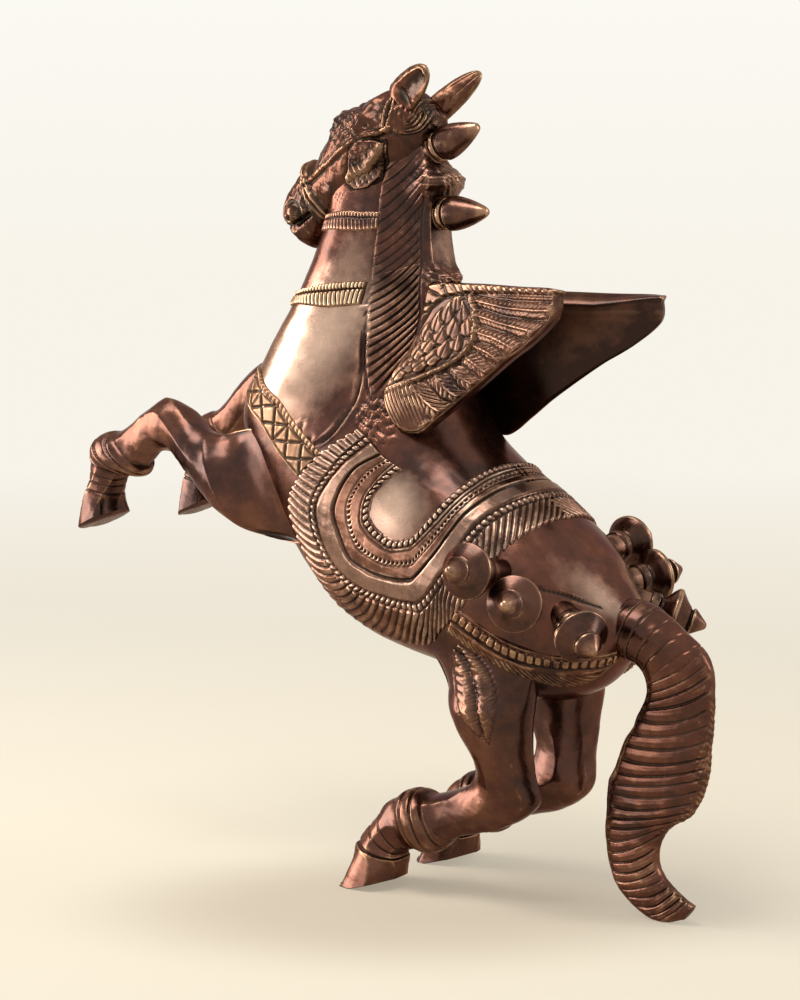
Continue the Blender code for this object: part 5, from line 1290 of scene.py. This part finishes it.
# The wing's own axes, along it, up it and outwards, in the statue's: splayed back and leaning out
ahead = np.array((math.cos(WING_SPLAY), -math.sin(WING_SPLAY), 0))
aside = np.array((math.sin(WING_SPLAY), math.cos(WING_SPLAY), 0))
upright = np.array((0, 0, 1))
splayed = np.array((
    ahead,
    math.sin(WING_LEAN) * aside + math.cos(WING_LEAN) * upright,
    math.sin(WING_LEAN) * upright - math.cos(WING_LEAN) * aside,
))
rings = faces[..., :3] @ splayed + np.array((WING_ROOT[0] + HOOVES_X, WING_ROOT[1], WING_ROOT[2]))
for word, mirror in SIDES:
    casting(f"{word}_wing_casting", rings + np.array(RIGHT_SHIFT) * mirror, wing_patina,
            nodes=[f"{word}_wing"], mirror=mirror, rub_and_painted_light=faces[..., 3])

# Rump knobs: six turned brass knobs, three a side, with a bowl, a rim and a pointed finial, each on a
# plain turned collar.
RUMP_KNOBS = (
    ((66.4, -53.1, 127.5), (0.05, -0.99, 0.14)),
    ((82.2, -46.4, 116.7), (0.31, -0.94, 0.12)),
    ((100.0, -30.8, 104.8), (0.80, -0.50, -0.33)),
)
# Profiles of turned pieces: radius and height over the foot
KNOB_PROFILE = (
    (6.0, 0.0), (6.0, 2.6), (5.7, 3.2), (4.9, 3.8), (4.75, 4.2), (5.2, 5.0), (6.6, 6.1), (8.2, 7.2),
    (9.5, 8.4), (9.95, 9.0), (10.0, 9.5), (10.0, 10.2), (9.75, 10.5), (8.6, 11.4), (7.1, 12.7), (5.9, 13.9),
    (5.1, 14.8), (4.7, 15.1), (4.25, 15.5), (4.3, 15.9), (4.9, 16.2), (5.0, 16.6), (4.9, 16.95), (4.3, 17.8),
    (3.4, 19.0), (2.5, 20.2), (1.6, 21.4), (1.0, 22.0), (0.5, 22.2),
)
COLLAR_PROFILE = ((5.25, -13.0), (5.25, -2.0), (5.25, -0.5), (4.85, -0.05))
RIM_HEIGHT = 10.5
TURNED_STEPS = 72
RING_PITCH = 0.8
RING_DEPTH = 0.018
KNOB_TONES = ((0.018, 0.012, 0.008), (0.038, 0.018, 0.013), (0.098, 0.041, 0.027),
              (0.290, 0.150, 0.095), (0.440, 0.270, 0.165))


def turned(name, profile, foot, way, node_name, rub_and_painted_light, steps=7, mirror=False):
    """A lathe-turned piece: its profile of radii and heights smoothed between corners, with fine tool
    rings, carried round the axis. It is rubbed on its tapered end and on a wide rim."""
    curve = spline(profile, np.linspace(0, len(profile) - 1, steps * (len(profile) - 1) + 1))
    radius = curve[:, 0] - RING_DEPTH * (1 - np.cos(2 * math.pi * run_of(curve)[:, 0] / RING_PITCH))
    way = np.array(way) / np.linalg.norm(way)
    first = np.cross(way, (0.3, 0.2, 0.9))
    first /= np.linalg.norm(first)
    turn = full_turn(TURNED_STEPS)[:, None]
    wheel = np.cos(turn) * first + np.sin(turn) * np.cross(way, first)
    rings = np.array(foot) + curve[:, 1, None, None] * way + np.maximum(radius, 0.05)[:, None, None] * wheel
    rub_and_painted_light = rub_and_painted_light + 0.6 * ramp(curve[:, 1:], profile[-1][1] - 6.0, profile[-1][1] - 1.5)
    rub_and_painted_light = rub_and_painted_light + 0.5 * ramp(curve[:, :1], 9.0, 9.8)
    casting(name, rings, knob_patina, [node_name], rub_and_painted_light, mirror, 0.4)


knob_patina = patina("knob_patina", KNOB_TONES, cloud_size=0.012, mottle_size=0.004)
for number, (rim, way) in enumerate(RUMP_KNOBS, 1):
    way = np.array(way) / np.linalg.norm(way)
    foot = np.array(rim) + np.array((HOOVES_X, 0, 0)) - way * RIM_HEIGHT
    for word, mirror in SIDES:
        turned(f"{word}_turned_knob_{number}", KNOB_PROFILE, foot, way,
               f"{word}_rump_knob_{number}", rub_and_painted_light=0.12, steps=6, mirror=mirror)
        turned(f"{word}_turned_collar_{number}", COLLAR_PROFILE, foot, way,
               f"{word}_rump_{number}_collar", rub_and_painted_light=0.3, mirror=mirror)

# Mane knobs: two turned brass bullets that stand out behind the neck, one over the other. Each is
# screwed on to a stud in a ringed collar.
MANE_KNOBS = (("upper", (12.5, 0, 275), (0.93, 0, 0.36)), ("lower", (15.5, 0, 251), (1.0, 0, 0.03)))
MANE_COLLAR = (
    (6.0, -6.0), (6.0, -0.3), (5.95, 0.0), (5.5, 0.35), (5.1, 0.7), (5.15, 1.05), (5.9, 1.3), (6.1, 1.7),
    (6.0, 2.4), (5.7, 2.9), (4.9, 3.0),
)
BULLET = (
    (5.0, 3.0), (4.9, 4.0), (5.0, 4.5), (6.3, 4.65), (6.5, 5.0), (6.5, 6.4), (6.3, 8.0), (5.85, 10.2),
    (5.15, 12.6), (4.35, 14.9), (3.4, 17.2), (2.4, 19.4), (1.5, 20.9), (1.1, 21.2), (0.6, 21.35),
    (0.2, 21.4),
)
for word, base, way in MANE_KNOBS:
    foot = np.array(base) + np.array((HOOVES_X, 0, 0))
    turned(f"{word}_turned_mane_collar", MANE_COLLAR, foot, way, f"{word}_mane_collar", 0.45)
    turned(f"{word}_turned_mane_knob", BULLET, foot, way, f"{word}_mane_knob", 0.42)

# Studs: plain brass rods, drawn and cut, that hold the eight knobs on and lie hidden inside them and
# their collars. The CAD pieces stay as they are.
STUDS = (
    "left_rump_1_stud", "left_rump_2_stud", "left_rump_3_stud", "right_rump_1_stud", "right_rump_2_stud",
    "right_rump_3_stud", "upper_mane_stud", "lower_mane_stud",
)
STUD_BRASS = ((0.62, 0.44, 0.20), (0.78, 0.60, 0.32))
stud_brass = bpy.data.materials.new("drawn_brass")
stud_brass.use_nodes = True
tree = stud_brass.node_tree
shader = tree.nodes["Principled BSDF"].inputs
place = node(tree, "TexCoord").outputs["Object"]
streak = node(tree, "TexNoise", {"Vector": place, "Scale": 900.0, "Detail": 3.0}).outputs[0]
tree.links.new(mixed(tree, streak, *STUD_BRASS), shader["Base Color"])
shader["Metallic"].default_value = 1.0
tree.links.new(spread(tree, streak, 0.3, 0.7, 0.22, 0.34), shader["Roughness"])
for name in STUDS:
    stud = bpy.data.objects[name]
    stud.data.materials.clear()
    stud.data.materials.append(stud_brass)
